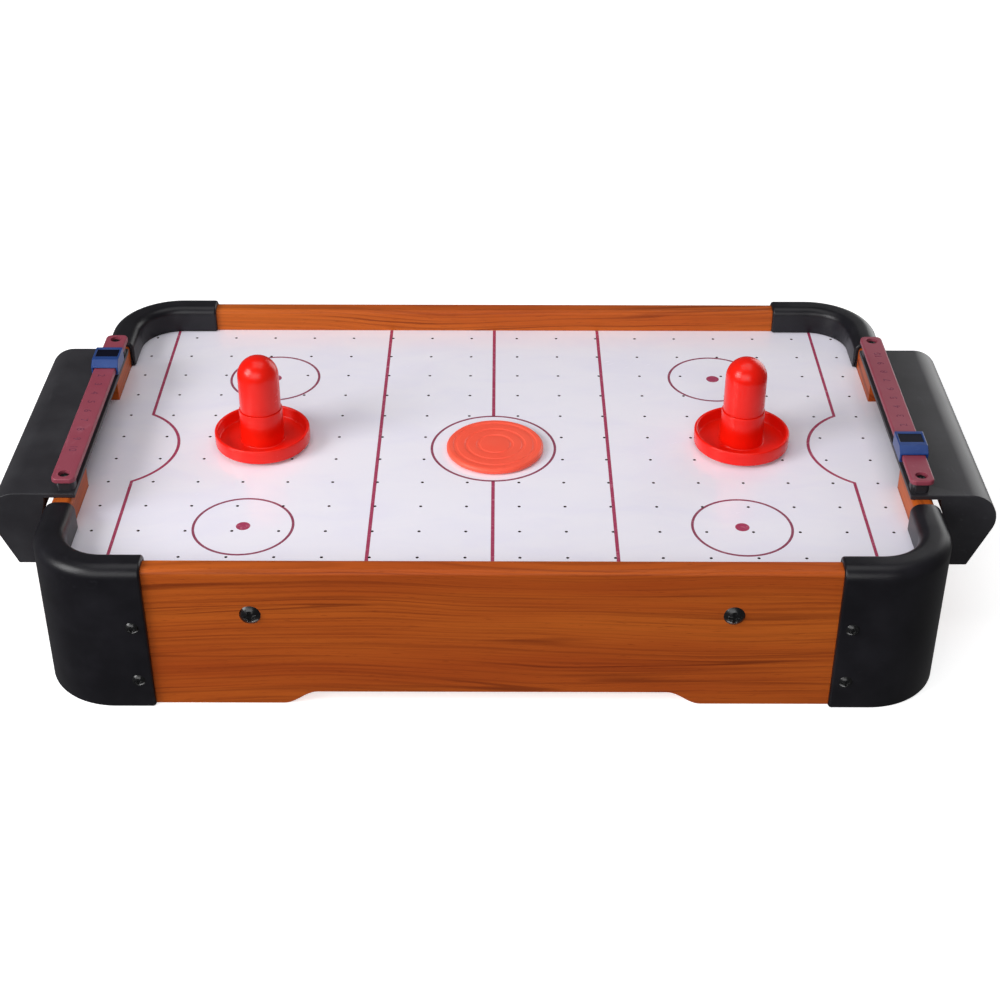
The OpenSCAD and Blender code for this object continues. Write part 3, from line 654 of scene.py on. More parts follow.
@dataclass
class Maker:
    """Builds meshes and hands finished pieces to the frame."""

    palette: Palette
    smooth_angle: float = math.radians(38)
    flat_angle: float = math.radians(0.3)
    corner_angle: float = math.radians(28)
    flat_weight: int = 80
    bevel_steps: int = 3
    made: list[str] = field(default_factory=list)

    def to_object(self, name: str, bm: bmesh.types.BMesh) -> bpy.types.Object:
        """Turns a closed BMesh into a linked object with outward faces and smooth shading.

        Args:
            name: The piece's name.
            bm: The mesh, which is freed.

        Returns:
            The object.
        """
        bmesh.ops.recalc_face_normals(bm, faces=bm.faces)
        mesh = bpy.data.meshes.new(name)
        bm.to_mesh(mesh)
        bm.free()
        self.shade(mesh)
        obj = bpy.data.objects.new(name, mesh)
        bpy.context.scene.collection.objects.link(obj)
        return obj

    def shade(self, mesh: bpy.types.Mesh) -> None:
        """Shades a mesh smooth, with its corners kept sharp."""
        mesh.shade_smooth()
        mesh.set_sharp_from_angle(angle=self.smooth_angle)

    def weight_normals(self, obj: bpy.types.Object) -> None:
        """Keeps large faces flat in shading, so that only the rounded edges turn the light."""
        modifier = obj.modifiers.new("flat_faces", "WEIGHTED_NORMAL")
        modifier.keep_sharp = True
        modifier.weight = self.flat_weight

    def finish(self, obj: bpy.types.Object, finish: str, body: str, slot: str = "",
               stands_for: Sequence[str] = ()) -> bpy.types.Object:
        """Gives a piece its finish, its body and the nodes it stands for.

        Args:
            obj: The piece.
            finish: The palette's name of its material.
            body: The body it moves with.
            slot: The record's material slot; not used.
            stands_for: CAD nodes that it replaces.

        Returns:
            The piece.
        """
        obj.data.materials.clear()
        obj.data.materials.append(self.palette[finish])
        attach(obj, body)
        if stands_for:
            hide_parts(*stands_for)
        self.made.append(obj.name)
        log.info("%s: %d faces, %s, rides on %s", obj.name, len(obj.data.polygons), finish, body)
        return obj

    def dress(self, node: str, finish: str) -> None:
        """Gives a CAD node that stays shown its finish.

        Args:
            node: The node's name.
            finish: The palette's name of its material.
        """
        obj = frame["nodes"][node]
        for i in range(len(obj.material_slots)):
            obj.material_slots[i].material = self.palette[finish]
        self.made.append(node)
        log.info("%s: shown as designed, %s", node, finish)

    def softened(self, node: str, finish: str, width: float, slot: str = "", shortest: float = 0.001,
                 keep: Callable[[Vector], bool] = lambda middle: True) -> bpy.types.Object:
        """Rounds the sharp edges of a copy of a CAD node, which it then replaces.

        Args:
            node: The node's name.
            finish: The palette's name of its material.
            width: Width of the rounding, in metres.
            slot: The record's material slot; passed on to finish, which does not use it.
            shortest: Edges shorter than this stay sharp, such as the rims of screw holes.
            keep: Says for an edge's middle whether the edge is rounded.

        Returns:
            The new piece.
        """
        bm = bmesh.new()
        bm.from_mesh(frame["nodes"][node].data)
        bmesh.ops.remove_doubles(bm, verts=bm.verts, dist=WELD)
        bmesh.ops.dissolve_limit(bm, angle_limit=self.flat_angle, verts=bm.verts, edges=bm.edges)
        sharp = [e for e in bm.edges if len(e.link_faces) == 2 and e.calc_length() >= shortest
                 and e.calc_face_angle() > self.corner_angle
                 and keep((e.verts[0].co + e.verts[1].co) / 2)]
        bmesh.ops.bevel(bm, geom=sharp, offset=width, offset_type="OFFSET",
                        segments=self.bevel_steps, profile=0.5, affect="EDGES", clamp_overlap=False)
        obj = self.to_object(f"{node}_shape", bm)
        self.weight_normals(obj)
        body = frame["nodes"][node]["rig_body"]
        return self.finish(obj, finish, body, slot, [node])

    def lathe(self, name: str, profile: Sequence[Point2], centre: Point2, sides: int) -> bpy.types.Object:
        """Turns a closed profile about a vertical axis.

        Args:
            name: The piece's name.
            profile: Radius and height of each point; one with radius 0 lies on the axis.
            centre: Place of the axis in plan.
            sides: Number of steps round the axis.

        Returns:
            The object.
        """
        bm = bmesh.new()
        rings = []
        for radius, height in profile:
            if radius < 1e-7:
                rings.append([bm.verts.new((centre[0], centre[1], height))])
                continue
            angles = [2 * math.pi * k / sides for k in range(sides)]
            rings.append([bm.verts.new((centre[0] + radius * math.cos(a),
                                        centre[1] + radius * math.sin(a), height)) for a in angles])
        for lower, upper in zip(rings, rings[1:]):
            self._join(bm, lower, upper)
        return self.to_object(name, bm)

    @staticmethod
    def _join(bm: bmesh.types.BMesh, lower: list, upper: list) -> None:
        """Joins two closed rings with quads, or a ring and a single point with triangles."""
        count = max(len(lower), len(upper))
        for k in range(count):
            n = (k + 1) % count
            corners = [lower[k % len(lower)], lower[n % len(lower)],
                       upper[n % len(upper)], upper[k % len(upper)]]
            unique = list(dict.fromkeys(corners))
            if len(unique) > 2:
                bm.faces.new(unique)

    def loft(self, name: str, rings: Sequence[Sequence[Point3]]) -> bpy.types.Object:
        """Joins closed rings of equal length one after another and closes both ends.

        Args:
            name: The piece's name.
            rings: The rings, each a list of points.

        Returns:
            The object.
        """
        bm = bmesh.new()
        made = [[bm.verts.new(p) for p in ring] for ring in rings]
        for lower, upper in zip(made, made[1:]):
            self._join(bm, lower, upper)
        for end in (made[0], made[-1]):
            bm.faces.new(end)
        return self.to_object(name, bm)

    def cut(self, obj: bpy.types.Object, cutter: bpy.types.Object) -> None:
        """Takes a cutter's volume out of a piece, and removes the cutter.

        Args:
            obj: The piece.
            cutter: The closed shape to take away.
        """
        modifier = obj.modifiers.new("cut", "BOOLEAN")
        modifier.operation = "DIFFERENCE"
        modifier.solver = "EXACT"
        modifier.object = cutter
        graph = bpy.context.evaluated_depsgraph_get()
        mesh = bpy.data.meshes.new_from_object(obj.evaluated_get(graph))
        mesh.name = obj.name
        obj.modifiers.clear()
        obj.data = mesh
        self.shade(mesh)
        bpy.data.objects.remove(cutter)

    def rods(self, name: str, places: Iterable[Point2], radius: float, low: float, high: float,
             sides: int = 20) -> bpy.types.Object:
        """Upright cylinders as one object, to cut round holes with.

        Args:
            name: The object's name.
            places: Their centres in plan.
            radius: Their radius.
            low: Height of their lower ends.
            high: Height of their upper ends.
            sides: Number of sides of each.

        Returns:
            The object.
        """
        bm = bmesh.new()
        for place in places:
            rings = [[bm.verts.new((x, y, z)) for x, y in arc(place, radius, 0, 360, sides)[:-1]]
                     for z in (low, high)]
            self._join(bm, rings[0], rings[1])
            bm.faces.new(rings[0][::-1])
            bm.faces.new(rings[1])
        return self.to_object(name, bm)


# ---------------------------------------------------------------- sub-assemblies


@dataclass
class Panels:
    """The four wood-grain panels with their blocks, and the screws that hold them."""

    edge: float = 0.7 * MM

    def build(self, maker: Maker) -> None:
        """Builds and dresses the panels.

        Args:
            maker: The mesh maker.
        """
        for node in ("front_side_panel", "rear_side_panel"):
            maker.softened(node, "wood_long", self.edge, "wood_veneer")
        for side in Side:
            maker.softened(f"{side.word}_end_panel", "wood_end", self.edge, "wood_veneer")
        maker.dress("corner_blocks", "raw_wood")
        maker.softened("side_panel_screws", "black_screw", 0.12 * MM)
        maker.softened("corner_cap_screws", "black_screw", 0.08 * MM)


@dataclass
class CornerCaps:
    """Moulded caps that wrap the four corners: a rolled top, and rounded ends on both arms."""

    radius: float = 42 * MM
    wall: float = 3 * MM
    inner_wall: float = 2.8 * MM
    panel: float = 12 * MM
    outer_roll: float = 7.5 * MM
    inner_roll: float = 5.5 * MM
    end_round: float = 1.5 * MM
    foot_round: float = 0.8 * MM
    turn_steps: int = 28

    def section(self, low: float, top: float, rail: float, foot: float) -> list[tuple[Point2, bool]]:
        """The cap's section as points of radius and height, each with whether it shows.

        Args:
            low: Height of the cap's lower edge.
            top: Height of its top.
            rail: Height of the rail inside it.
            foot: Height of the inner wall's lower edge.

        Returns:
            The points in order round the section.
        """
        outer, inner = self.radius, self.radius - self.wall
        back = inner - self.panel
        front = back - self.inner_wall
        small = self.foot_round
        shown = [(outer - small, low)] + arc((outer - small, low + small), small, -60, 0, 3)
        shown += [(outer, low + (top - low) * share) for share in (0.25, 0.5, 0.75)]
        shown += arc((outer - self.outer_roll, top - self.outer_roll), self.outer_roll, 0, 90, 14)
        shown += arc((front + self.inner_roll, top - self.inner_roll), self.inner_roll, 90, 180, 12)
        shown += [(front, foot + small)] + arc((front + small, foot + small), small, 210, 270, 2)
        hidden = [(back, foot), (back, rail), (inner, rail), (inner, low)]
        return [(p, True) for p in shown] + [(p, False) for p in hidden]

    def inset(self, section: Sequence[tuple[Point2, bool]], depth: float) -> list[Point2]:
        """The section with its shown points drawn in.

        Args:
            section: The section's points, each with whether it shows.
            depth: How far the shown points move in.

        Returns:
            The points.
        """
        count = len(section)
        moved = []
        for i, (point, shown) in enumerate(section):
            before, after = Vector(section[i - 1][0]), Vector(section[(i + 1) % count][0])
            along = (after - before).normalized()
            inward = Vector((-along.y, along.x))
            p = Vector(point) + inward * (depth if shown else 0.0)
            moved.append((p.x, p.y))
        return moved

    def build(self, maker: Maker) -> None:
        """Builds and dresses the four caps.

        Args:
            maker: The mesh maker.
        """
        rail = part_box("front_side_panel")[1].z
        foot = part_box("playing_board")[1].z + 0.1 * MM
        for row, sy in (("front", -1), ("rear", 1)):
            for side in Side:
                node = f"{row}_{side.word}_corner_cap"
                low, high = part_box(node)
                self.build_cap(maker, node, (side.value, sy), low, high, (rail, foot))

    def build_cap(self, maker: Maker, node: str, signs: tuple[int, int], low: Vector, high: Vector,
                  levels: tuple[float, float]) -> None:
        """Builds one cap in its corner.

        Args:
            maker: The mesh maker.
            node: The CAD node it stands for.
            signs: Signs of the corner's X and Y.
            low: The node's lowest corner.
            high: The node's highest corner.
            levels: Height of the rail and of the inner wall's lower edge.
        """
        reach = [max(abs(low[i]), abs(high[i])) for i in (0, 1)]
        edge = [min(abs(low[i]), abs(high[i])) for i in (0, 1)]
        centre = [r - self.radius for r in reach]
        section = self.section(low.z, high.z, *levels)
        stations = self.stations(centre[0] - edge[0], centre[1] - edge[1])
        rings = []
        for run_x, angle, run_y, depth in stations:
            a = math.radians(angle)
            ring = [(centre[0] - run_x + r * math.cos(a), centre[1] - run_y + r * math.sin(a), z)
                    for r, z in self.inset(section, depth)]
            rings.append([(signs[0] * x, signs[1] * y, z) for x, y, z in ring])
        obj = maker.loft(f"{node}_shape", rings)
        maker.finish(obj, "cap_plastic", "table", stands_for=[node])

    def stations(self, arm_x: float, arm_y: float) -> list[tuple[float, float, float, float]]:
        """Where the section stands along the cap.

        Args:
            arm_x: Length of the straight arm along X.
            arm_y: Length of the straight arm along Y.

        Returns:
            For each station its place on the X arm, its angle, its place on the Y arm, and
            how far the section is drawn in.
        """
        r = self.end_round
        rolls = [(r * (1 - math.sin(t)), r * (1 - math.cos(t)))
                 for t in (math.radians(90 - 18 * k) for k in range(6))]
        ends = [(arm_x - back, depth) for back, depth in rolls]
        first = [(run, 90.0, 0.0, depth) for run, depth in ends]
        last = [(0.0, 0.0, arm_y - arm_x + run, depth) for run, depth in reversed(ends)]
        turn = [(0.0, 90.0 - 90.0 * k / self.turn_steps, 0.0, 0.0) for k in range(self.turn_steps + 1)]
        return first + turn + last


@dataclass
class PlayingBoard:
    """The perforated board, and the markings printed on it."""

    lift: float = 0.02 * MM
    film: float = 0.03 * MM
    print_y: float = -7.1 * MM
    zone_x: float = 68.7 * MM
    line: float = 2.0 * MM
    ring_line: float = 1.5 * MM
    spot_x: float = 139.8 * MM
    spot_dy: float = 84.3 * MM
    spot_ring: float = 27.9 * MM
    spot_dot: float = 4.0 * MM
    centre_ring: float = 36.9 * MM
    goal_x: float = 210.3 * MM
    goal_mouth: float = 38.2 * MM
    goal_arc: float = 45.1 * MM
    hole: float = 0.9 * MM
    column_first: float = 15 * MM
    column_pitch: float = 26.1 * MM
    columns: int = 9
    row_pitch: float = 25.3 * MM
    row_shift: float = 5.0 * MM
    rows_each_way: int = 5
    punch_ease: float = 1.04
    ring_sides: int = 96

    def build(self, maker: Maker) -> None:
        """Dresses the board and prints its markings.

        Args:
            maker: The mesh maker.
        """
        maker.dress("playing_board", "playing_surface")
        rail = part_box("front_side_panel")[1].y
        self.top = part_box("playing_board")[1].z + self.lift
        self.reach = (rail + 0.3 * MM, -rail - 0.3 * MM)
        self.print_lines(maker)
        self.print_rings(maker)
        self.print_goal_lines(maker)

    def print_lines(self, maker: Maker) -> None:
        """Prints the zone lines from rail to rail, and the centre line up to the centre ring."""
        start, end = self.reach
        near, far = self.print_y - self.centre_ring, self.print_y + self.centre_ring
        lines = (("left_zone_line", -self.zone_x, start, end), ("right_zone_line", self.zone_x, start, end),
                 ("front_centre_line", 0.0, start, near), ("rear_centre_line", 0.0, far, end))
        for name, x, first, last in lines:
            self.stroke(maker, name, [(x, first), (x, last)], self.line)

    def print_rings(self, maker: Maker) -> None:
        """Prints the centre ring, and the four face-off rings with their dots."""
        self.ring(maker, "centre_ring", (0.0, self.print_y), self.centre_ring, self.ring_line)
        for side in Side:
            for row, sign in (("front", -1), ("rear", 1)):
                at = (side.value * self.spot_x, self.print_y + sign * self.spot_dy)
                spot = f"{row}_{side.word}_face_off"
                self.ring(maker, f"{spot}_ring", at, self.spot_ring, self.ring_line)
                self.ring(maker, f"{spot}_dot", at, self.spot_dot / 2, self.spot_dot)

    def print_goal_lines(self, maker: Maker) -> None:
        """Prints each goal line: straight from a rail, round the crease, straight to the other."""
        for side in Side:
            s = side.value
            drop = math.sqrt(self.goal_arc ** 2 - self.goal_mouth ** 2)
            half = math.degrees(math.atan2(self.goal_mouth, drop))
            crease = arc((self.goal_x + drop, self.print_y), self.goal_arc, 180 + half, 180 - half, 40)
            path = [(self.goal_x, self.reach[0]), *crease, (self.goal_x, self.reach[1])]
            self.stroke(maker, f"{side.word}_goal_line", [(s * x, y) for x, y in path], self.line * 0.9)

    def stroke(self, maker: Maker, name: str, path: Sequence[Point2], width: float) -> None:
        """Prints a line of even width along a path.

        Args:
            maker: The mesh maker.
            name: The piece's name.
            path: The points of its middle.
            width: Its width.
        """
        points = [Vector(p) for p in path]
        left, right = [], []
        for i, p in enumerate(points):
            before = (p - points[i - 1]).normalized() if i else (points[1] - p).normalized()
            after = (points[i + 1] - p).normalized() if i + 1 < len(points) else before
            across = Vector((-before.y - after.y, before.x + after.x)).normalized()
            spread = width / 2 / max(0.5, across.dot(Vector((-before.y, before.x))))
            left.append(p + across * spread)
            right.append(p - across * spread)
        low, high = self.top, self.top + self.film
        rings = [[(a.x, a.y, low), (b.x, b.y, low), (b.x, b.y, high), (a.x, a.y, high)]
                 for a, b in zip(left, right)]
        self.finish_print(maker, maker.loft(name, rings), points)

    def ring(self, maker: Maker, name: str, at: Point2, radius: float, width: float) -> None:
        """Prints a ring, or a dot where the width is twice the radius.

        Args:
            maker: The mesh maker.
            name: The piece's name.
            at: Its centre.
            radius: Radius of the middle of its line.
            width: Width of its line.
        """
        low, high = self.top, self.top + self.film
        inner, outer = max(0.0, radius - width / 2), radius + width / 2
        profile = [(inner, low), (outer, low), (outer, high), (inner, high)]
        profile = profile if inner == 0.0 else [*profile, (inner, low)]
        obj = maker.lathe(name, profile, at, self.ring_sides)
        if inner > 0.0:
            bm = bmesh.new()
            bm.from_mesh(obj.data)
            bmesh.ops.remove_doubles(bm, verts=bm.verts, dist=WELD)
            bmesh.ops.recalc_face_normals(bm, faces=bm.faces)
            bm.to_mesh(obj.data)
            bm.free()
            maker.shade(obj.data)
        steps = [Vector(p) for p in arc(at, radius, 0, 360, 180)]
        self.finish_print(maker, obj, steps, "ring_ink" if inner > 0.0 else "marking_ink")

    def finish_print(self, maker: Maker, obj: bpy.types.Object, middle: Sequence[Vector],
                     ink: str = "marking_ink") -> None:
        """Opens the air holes under a marking, and gives it its ink.

        Args:
            maker: The mesh maker.
            obj: The marking.
            middle: Points along its middle.
            ink: The palette's name of its ink.
        """
        hit = [hole for hole in self.holes() if self.near(Vector(hole), middle)]
        if hit:
            rods = maker.rods("punch", hit, self.hole * self.punch_ease, self.top - MM, self.top + MM)
            maker.cut(obj, rods)
        maker.finish(obj, ink, "table", "playing_surface")

    def near(self, hole: Vector, middle: Sequence[Vector]) -> bool:
        """Whether a hole touches a line that runs through these points."""
        reach = self.hole + self.line
        for a, b in zip(middle, middle[1:]):
            run = b - a
            share = max(0.0, min(1.0, (hole - a).dot(run) / max(run.length_squared, 1e-12)))
            if (hole - a - run * share).length < reach:
                return True
        return False

    def holes(self) -> list[Point2]:
        """The centres of the air holes."""
        rows = range(-self.rows_each_way, self.rows_each_way + 1)
        return [(s * (self.column_first + self.column_pitch * i), self.row_shift + self.row_pitch * k)
                for s in (-1, 1) for i in range(self.columns) for k in rows]


@dataclass
class Goals:
    """The hood behind each goal."""

    edge: float = 0.5 * MM

    def build(self, maker: Maker) -> None:
        """Builds and dresses both hoods.

        Args:
            maker: The mesh maker.
        """
        for side in Side:
            maker.softened(f"{side.word}_goal_hood", "hood_plastic", self.edge, shortest=0.0008)


@dataclass
class ScoreKeepers:
    """Both score bars with their numbers, screws and sliders."""

    corner: float = 3.5 * MM
    fillet: float = 0.9 * MM
    lower_edge: float = 0.4
    screw_y: float = 79.1 * MM
    screw_sink: float = 2 * MM
    sink_radius: float = 3.4 * MM
    number_pitch: float = 10.6 * MM
    highest: int = 10
    digit_size: float = 6.21 * MM
    digit_relief: float = 0.12 * MM
    digit_shift: float = 0.6 * MM

    def build(self, maker: Maker) -> None:
        """Builds and dresses both bars.

        Args:
            maker: The mesh maker.
        """
        for side in Side:
            self.build_bar(maker, side)
            self.build_numbers(maker, side)
            maker.softened(f"{side.word}_score_slider", "slider_blue", 0.45 * MM)
            # The window insert is a real dark piece, and its near-black colour is also painted shade of the
            # deep window pocket.
            maker.softened(f"{side.word}_slider_window", "slider_window", 0.2 * MM)
        maker.dress("score_bar_screws", "black_screw")

    def rounded(self, half: Point2, radius: float, at: Point2, z: float) -> list[Point3]:
        """A ring in plan with rounded corners.

        Args:
            half: Half its length along X and along Y.
            radius: Radius of its corners.
            at: Its centre.
            z: Its height.

        Returns:
            The ring's points.
        """
        ring: list[Point3] = []
        for sx, sy, start in ((1, 1, 0), (-1, 1, 90), (-1, -1, 180), (1, -1, 270)):
            centre = (at[0] + sx * (half[0] - radius), at[1] + sy * (half[1] - radius))
            ring += [(x, y, z) for x, y in arc(centre, radius, start, start + 90, 8)]
        return ring

    def build_bar(self, maker: Maker, side: Side) -> None:
        """Builds one bar: a slab with rounded edges and sunk screw holes."""
        node = f"{side.word}_score_bar"
        low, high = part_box(node)
        at = ((low.x + high.x) / 2, (low.y + high.y) / 2)
        half_x, half_y = (high.x - low.x) / 2, (high.y - low.y) / 2
        turns = [math.radians(18 * k) for k in range(6)]
        levels = [(a, low.z, self.lower_edge) for a in turns] + [(a, high.z, -1.0) for a in reversed(turns)]
        rings = []
        for a, level, rise in levels:
            draw, lift = self.fillet * (1 - math.sin(a)), self.fillet * (1 - math.cos(a))
            half = (half_x - draw, half_y - draw)
            rings.append(self.rounded(half, self.corner - draw, at, level + lift * rise))
        bar = maker.loft(f"{node}_shape", rings)
        maker.cut(bar, self.sinks(maker, at, high.z))
        maker.weight_normals(bar)
        maker.finish(bar, "score_pink", "table", stands_for=[node])

    def sinks(self, maker: Maker, at: Point2, top: float) -> bpy.types.Object:
        """The sunk screw holes of a bar, as a cutter."""
        places = [(at[0], sign * self.screw_y) for sign in (-1, 1)]
        return maker.rods("sinks", places, self.sink_radius, top - self.screw_sink, top + MM, 40)

    def build_numbers(self, maker: Maker, side: Side) -> None:
        """Raises the numbers 0 to 10 on a bar, upright for the player at that end."""
        low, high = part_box(f"{side.word}_score_bar")
        window_low, window_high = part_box(f"{side.word}_slider_window")
        zero = (window_low.y + window_high.y) / 2
        turn = Matrix.Rotation(math.radians(90 * side.value), 4, "Z")
        bm = bmesh.new()
        for value in range(self.highest + 1):
            curve = bpy.data.curves.new("digit", "FONT")
            curve.body = str(value)
            curve.size = self.digit_size
            curve.extrude = self.digit_relief
            curve.align_x = "CENTER"
            curve.align_y = "CENTER"
            text = bpy.data.objects.new("digit", curve)
            y = zero + side.value * value * self.number_pitch
            x = (low.x + high.x) / 2 + side.value * self.digit_shift
            place = Matrix.Translation((x, y, high.z)) @ turn
            mesh = bpy.data.meshes.new_from_object(text)
            mesh.transform(place)
            bm.from_mesh(mesh)
            bpy.data.objects.remove(text)
            bpy.data.curves.remove(curve)
            bpy.data.meshes.remove(mesh)
        bmesh.ops.remove_doubles(bm, verts=bm.verts, dist=WELD)
        obj = maker.to_object(f"{side.word}_score_numbers", bm)
        maker.finish(obj, "number_ink", "table", "score_pink")


@dataclass
class Strikers:
    """Both strikers: a dish with a rolled rim, a collar, a domed knob and a felt."""

    rim_height: float = 10 * MM
    wall: float = 2.0 * MM
    felt: float = 1.2 * MM
    floor: float = 2.0 * MM
    collar_step: float = 0.6 * MM
    knob_wall: float = 3.6 * MM
    spigot_step: float = 1.3 * MM
    sides: int = 128

    def build(self, maker: Maker) -> None:
        """Builds and dresses both strikers.

        Args:
            maker: The mesh maker.
        """
        for side in Side:
            self.build_base(maker, side)
            self.build_knob(maker, side)
            maker.softened(f"{side.word}_striker_felt", "felt", 0.3 * MM, shortest=0.0)

    def build_base(self, maker: Maker, side: Side) -> None:
        """Turns the dish with its collar."""
        node = f"{side.word}_striker_base"
        low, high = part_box(node)
        knob_low, knob_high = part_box(f"{side.word}_striker_knob")
        radius, knob = (high.x - low.x) / 2, (knob_high.x - knob_low.x) / 2
        at = ((low.x + high.x) / 2, (low.y + high.y) / 2)
        z0, rim, top = low.z, low.z + self.rim_height - self.felt, high.z
        floor, tip = low.z + self.floor, self.wall / 2
        profile = filleted([
            (0.0, z0, 0), (radius - 0.9 * MM, z0, 0.4 * MM),
            (radius - 0.2 * MM, z0 + 0.9 * MM, 0.6 * MM),
            (radius, rim - 3 * MM, 2 * MM), (radius - 0.1 * MM, rim, tip * 0.8),
            (radius - self.wall, rim, tip * 0.8), (radius - self.wall - 0.4 * MM, floor, 0.9 * MM),
            (knob + self.collar_step + 0.3 * MM, floor, 0.8 * MM),
            (knob + self.collar_step, top, 0.35 * MM),
            (knob - 0.6 * MM, top, 0), (knob - 0.6 * MM, floor, 0), (0.0, floor, 0)], 6)
        obj = maker.lathe(f"{node}_shape", profile, at, self.sides)
        maker.finish(obj, "striker_red", f"{side.word}_striker", stands_for=[node])

    def build_knob(self, maker: Maker, side: Side) -> None:
        """Turns the knob: a near-straight grip with a domed top, hollow below."""
        node = f"{side.word}_striker_knob"
        low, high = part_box(node)
        collar_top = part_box(f"{side.word}_striker_base")[1].z
        radius = (high.x - low.x) / 2
        at = ((low.x + high.x) / 2, (low.y + high.y) / 2)
        inner, spigot = radius - self.knob_wall, radius - self.spigot_step
        shoulder = collar_top + 0.1 * MM
        profile = [(0.0, high.z - self.knob_wall)]
        profile += arc((0.0, high.z - radius), inner, 90, 0, 14)[1:]
        profile += filleted([
            (inner, high.z - radius - MM, 0), (inner, low.z, 0.4 * MM), (spigot, low.z, 0.4 * MM),
            (spigot, shoulder, 0.2 * MM), (radius, shoulder, 0.5 * MM), (radius, high.z - radius, 0)], 4)
        profile += arc((0.0, high.z - radius), radius, 0, 90, 24)[1:]
        obj = maker.lathe(f"{node}_shape", profile, at, self.sides)
        maker.finish(obj, "striker_red", f"{side.word}_striker", stands_for=[node])


@dataclass
class Puck:
    """The flat disc, with shallow rings in its upper face."""

    rings: tuple[tuple[float, float], ...] = ((9.0, 11.2), (16.0, 18.2), (22.6, 25.2))
    depth: float = 0.3 * MM
    soft: float = 0.22 * MM
    sides: int = 160

    def build(self, maker: Maker) -> None:
        """Turns and dresses the puck.

        Args:
            maker: The mesh maker.
        """
        low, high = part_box("puck")
        radius = (high.x - low.x) / 2
        corners = [(0.0, low.z, 0), (radius - 0.9 * MM, low.z, 0.5 * MM),
                   (radius, low.z + 0.9 * MM, 0.5 * MM),
                   (radius, high.z - 1.1 * MM, 0.6 * MM), (radius - 1.1 * MM, high.z, 0.6 * MM)]
        for inner, outer in reversed(self.rings):
            ring = [(outer * MM, high.z), (outer * MM - self.depth, high.z - self.depth),
                    (inner * MM + self.depth, high.z - self.depth), (inner * MM, high.z)]
            corners += [(r, z, self.soft) for r, z in ring]
        corners.append((0.0, high.z, 0))
        at = ((low.x + high.x) / 2, (low.y + high.y) / 2)
        obj = maker.lathe("puck_shape", filleted(corners, 3), at, self.sides)
        maker.finish(obj, "puck_orange", "puck", stands_for=["puck"])


@dataclass
class Chamber:
    """What lies under the playing board: floor board, braces, strips, fan, cells and switch."""

    raw: tuple[str, ...] = ("left_cross_brace", "right_cross_brace", "front_ledgers", "rear_ledgers",
                            "left_ledger", "right_ledger")
    steel: tuple[str, ...] = ("floor_screws", "fan_motor", "motor_shaft", "fan_screws",
                              "battery_contacts", "bracket_screws")
    plastic: tuple[str, ...] = ("fan_grille", "fan_impeller")
    rounded: tuple[tuple[str, float], ...] = (
        ("fan_duct", 0.4), ("battery_box", 0.4), ("battery_door", 0.3),
        ("switch_housing", 0.4), ("switch_rocker", 0.4))

    def build(self, maker: Maker) -> None:
        """Builds and dresses the parts.

        Args:
            maker: The mesh maker.
        """
        maker.dress("chamber_floor", "hardboard")
        for node in self.raw:
            maker.dress(node, "raw_wood")
        for node in self.steel:
            maker.dress(node, "steel")
        for node in self.plastic:
            maker.dress(node, "fan_plastic")
        for node, width in self.rounded:
            maker.softened(node, "fan_plastic", width * MM)
        maker.dress("battery_cells", "cell_wrap")
        maker.dress("red_wire", "wire_red")
        maker.dress("switch_wire", "wire_red")
        maker.dress("black_wire", "wire_black")


@dataclass(frozen=True)
class Lamp:
    """A soft rectangular light: its place and size in metres, and its power in watts."""

    name: str
    at: Point3
    size: Point2
    power: float


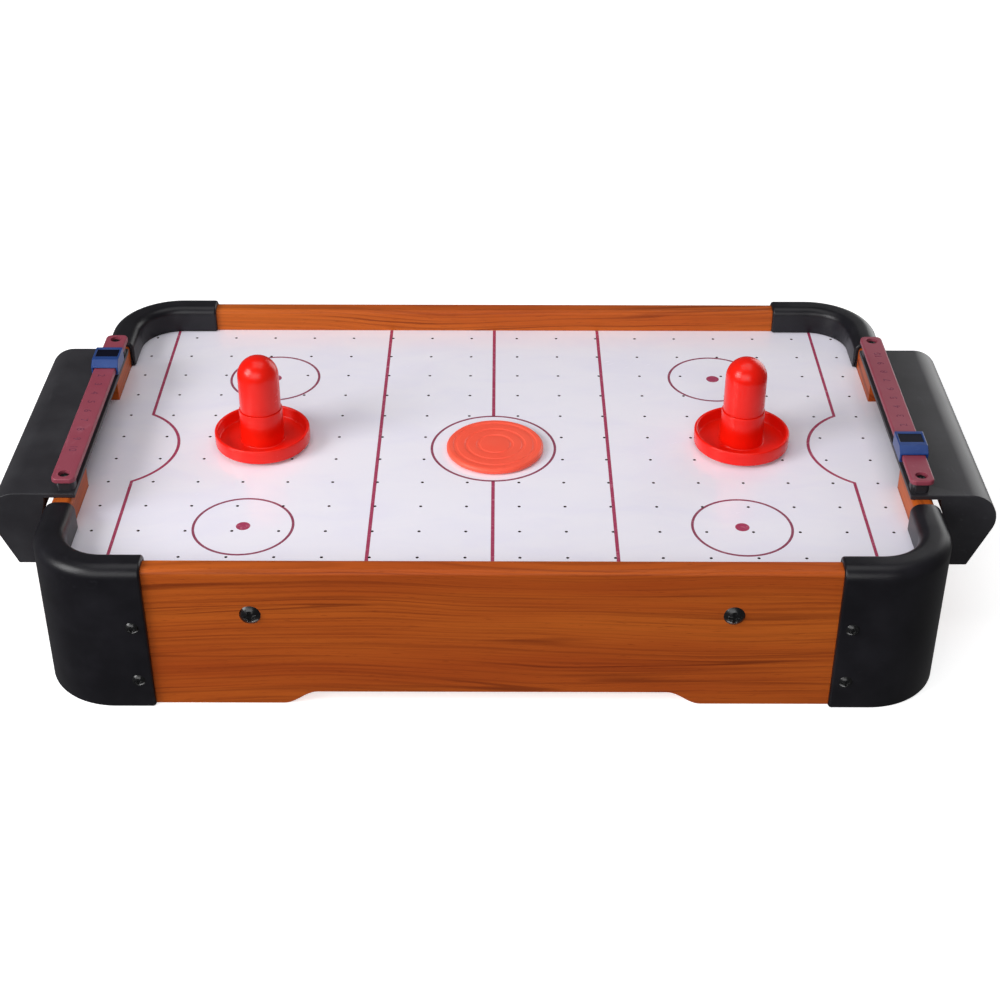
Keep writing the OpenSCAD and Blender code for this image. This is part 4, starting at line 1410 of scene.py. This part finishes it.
@dataclass
class Studio:
    """Floor, lights, sky and camera."""

    lamps: tuple[Lamp, ...] = (
        Lamp("key", (-1.75, -0.95, 1.15), (1.1, 1.1), 37.0),
        Lamp("front", (-0.5, -2.4, 1.25), (2.6, 1.4), 31.0),
        Lamp("top", (0.0, 0.0, 2.1), (1.8, 1.4), 13.0),
        Lamp("back", (1.45, 1.75, 0.45), (1.3, 1.7), 17.0),
        Lamp("below", (0.0, 0.0, -1.4), (1.0, 0.8), 9.0))
    aim: Point3 = (0.0, 0.0, 0.05)
    floor_half: float = 6.0
    sky_light: float = 0.12
    lens: float = 63.58
    sensor: float = 36.0
    camera_at: Point3 = (0.004047, -0.909852, 0.630714)
    camera_tip: float = 56.70
    camera_roll: float = 0.0023

    def build(self, maker: Maker) -> None:
        """Sets the stage.

        Args:
            maker: The mesh maker.
        """
        self.add_floor(maker)
        self.add_sky()
        for lamp in self.lamps:
            self.add_light(lamp)
        self.add_camera()
        bpy.context.scene.view_settings.view_transform = "Standard"

    def add_floor(self, maker: Maker) -> None:
        """Adds the floor that the table stands on."""
        h = self.floor_half
        bm = bmesh.new()
        bm.faces.new([bm.verts.new((x, y, 0.0)) for x, y in ((-h, -h), (h, -h), (h, h), (-h, h))])
        floor = maker.to_object("studio_floor", bm)
        floor.data.materials.append(maker.palette["studio_floor"])
        floor.visible_diffuse = False
        floor.visible_glossy = False
        floor.visible_shadow = False

    def add_sky(self) -> None:
        """Adds a surround that looks white and gives a little even light."""
        g = Graph("white_surround", world=True)
        ray = g.add("ShaderNodeLightPath", output="Is Camera Ray")
        strength = g.add("ShaderNodeMapRange", {}, {
            "Value": ray, "To Min": self.sky_light, "To Max": 1.0}, "Result")
        back = g.add("ShaderNodeBackground", {}, {"Color": WHITE, "Strength": strength})
        g.add_output(back, "ShaderNodeOutputWorld")
        bpy.context.scene.world = g.owner

    def add_light(self, lamp: Lamp) -> None:
        """Adds a soft light that faces the table.

        Args:
            lamp: What it is and where it stands.
        """
        light = bpy.data.lights.new(lamp.name, "AREA")
        light.shape = "RECTANGLE"
        light.size, light.size_y = lamp.size
        light.energy = lamp.power
        obj = bpy.data.objects.new(lamp.name, light)
        obj.location = lamp.at
        obj.visible_camera = False
        obj.rotation_euler = (Vector(self.aim) - Vector(lamp.at)).to_track_quat("-Z", "Y").to_euler()
        bpy.context.scene.collection.objects.link(obj)

    def add_camera(self) -> None:
        """Adds the camera."""
        camera = bpy.data.cameras.new("camera")
        camera.lens = self.lens
        camera.sensor_width = self.sensor
        obj = bpy.data.objects.new("camera", camera)
        tip = Matrix.Rotation(math.radians(self.camera_tip), 4, "X")
        roll = Matrix.Rotation(self.camera_roll, 4, "Z")
        obj.matrix_world = Matrix.Translation(self.camera_at) @ (tip @ roll)
        bpy.context.scene.collection.objects.link(obj)
        bpy.context.scene.camera = obj


def main() -> None:
    """Builds the sub-assemblies in order and reports their pieces."""
    logging.basicConfig(level=logging.INFO, format="%(name)s: %(message)s")
    maker = Maker(Palette())
    for assembly in (Panels(), CornerCaps(), PlayingBoard(), Goals(), ScoreKeepers(), Strikers(),
                     Puck(), Chamber(), Studio()):
        assembly.build(maker)
    log.info("%d pieces dressed", len(maker.made))


if __name__ == "__main__":
    main()
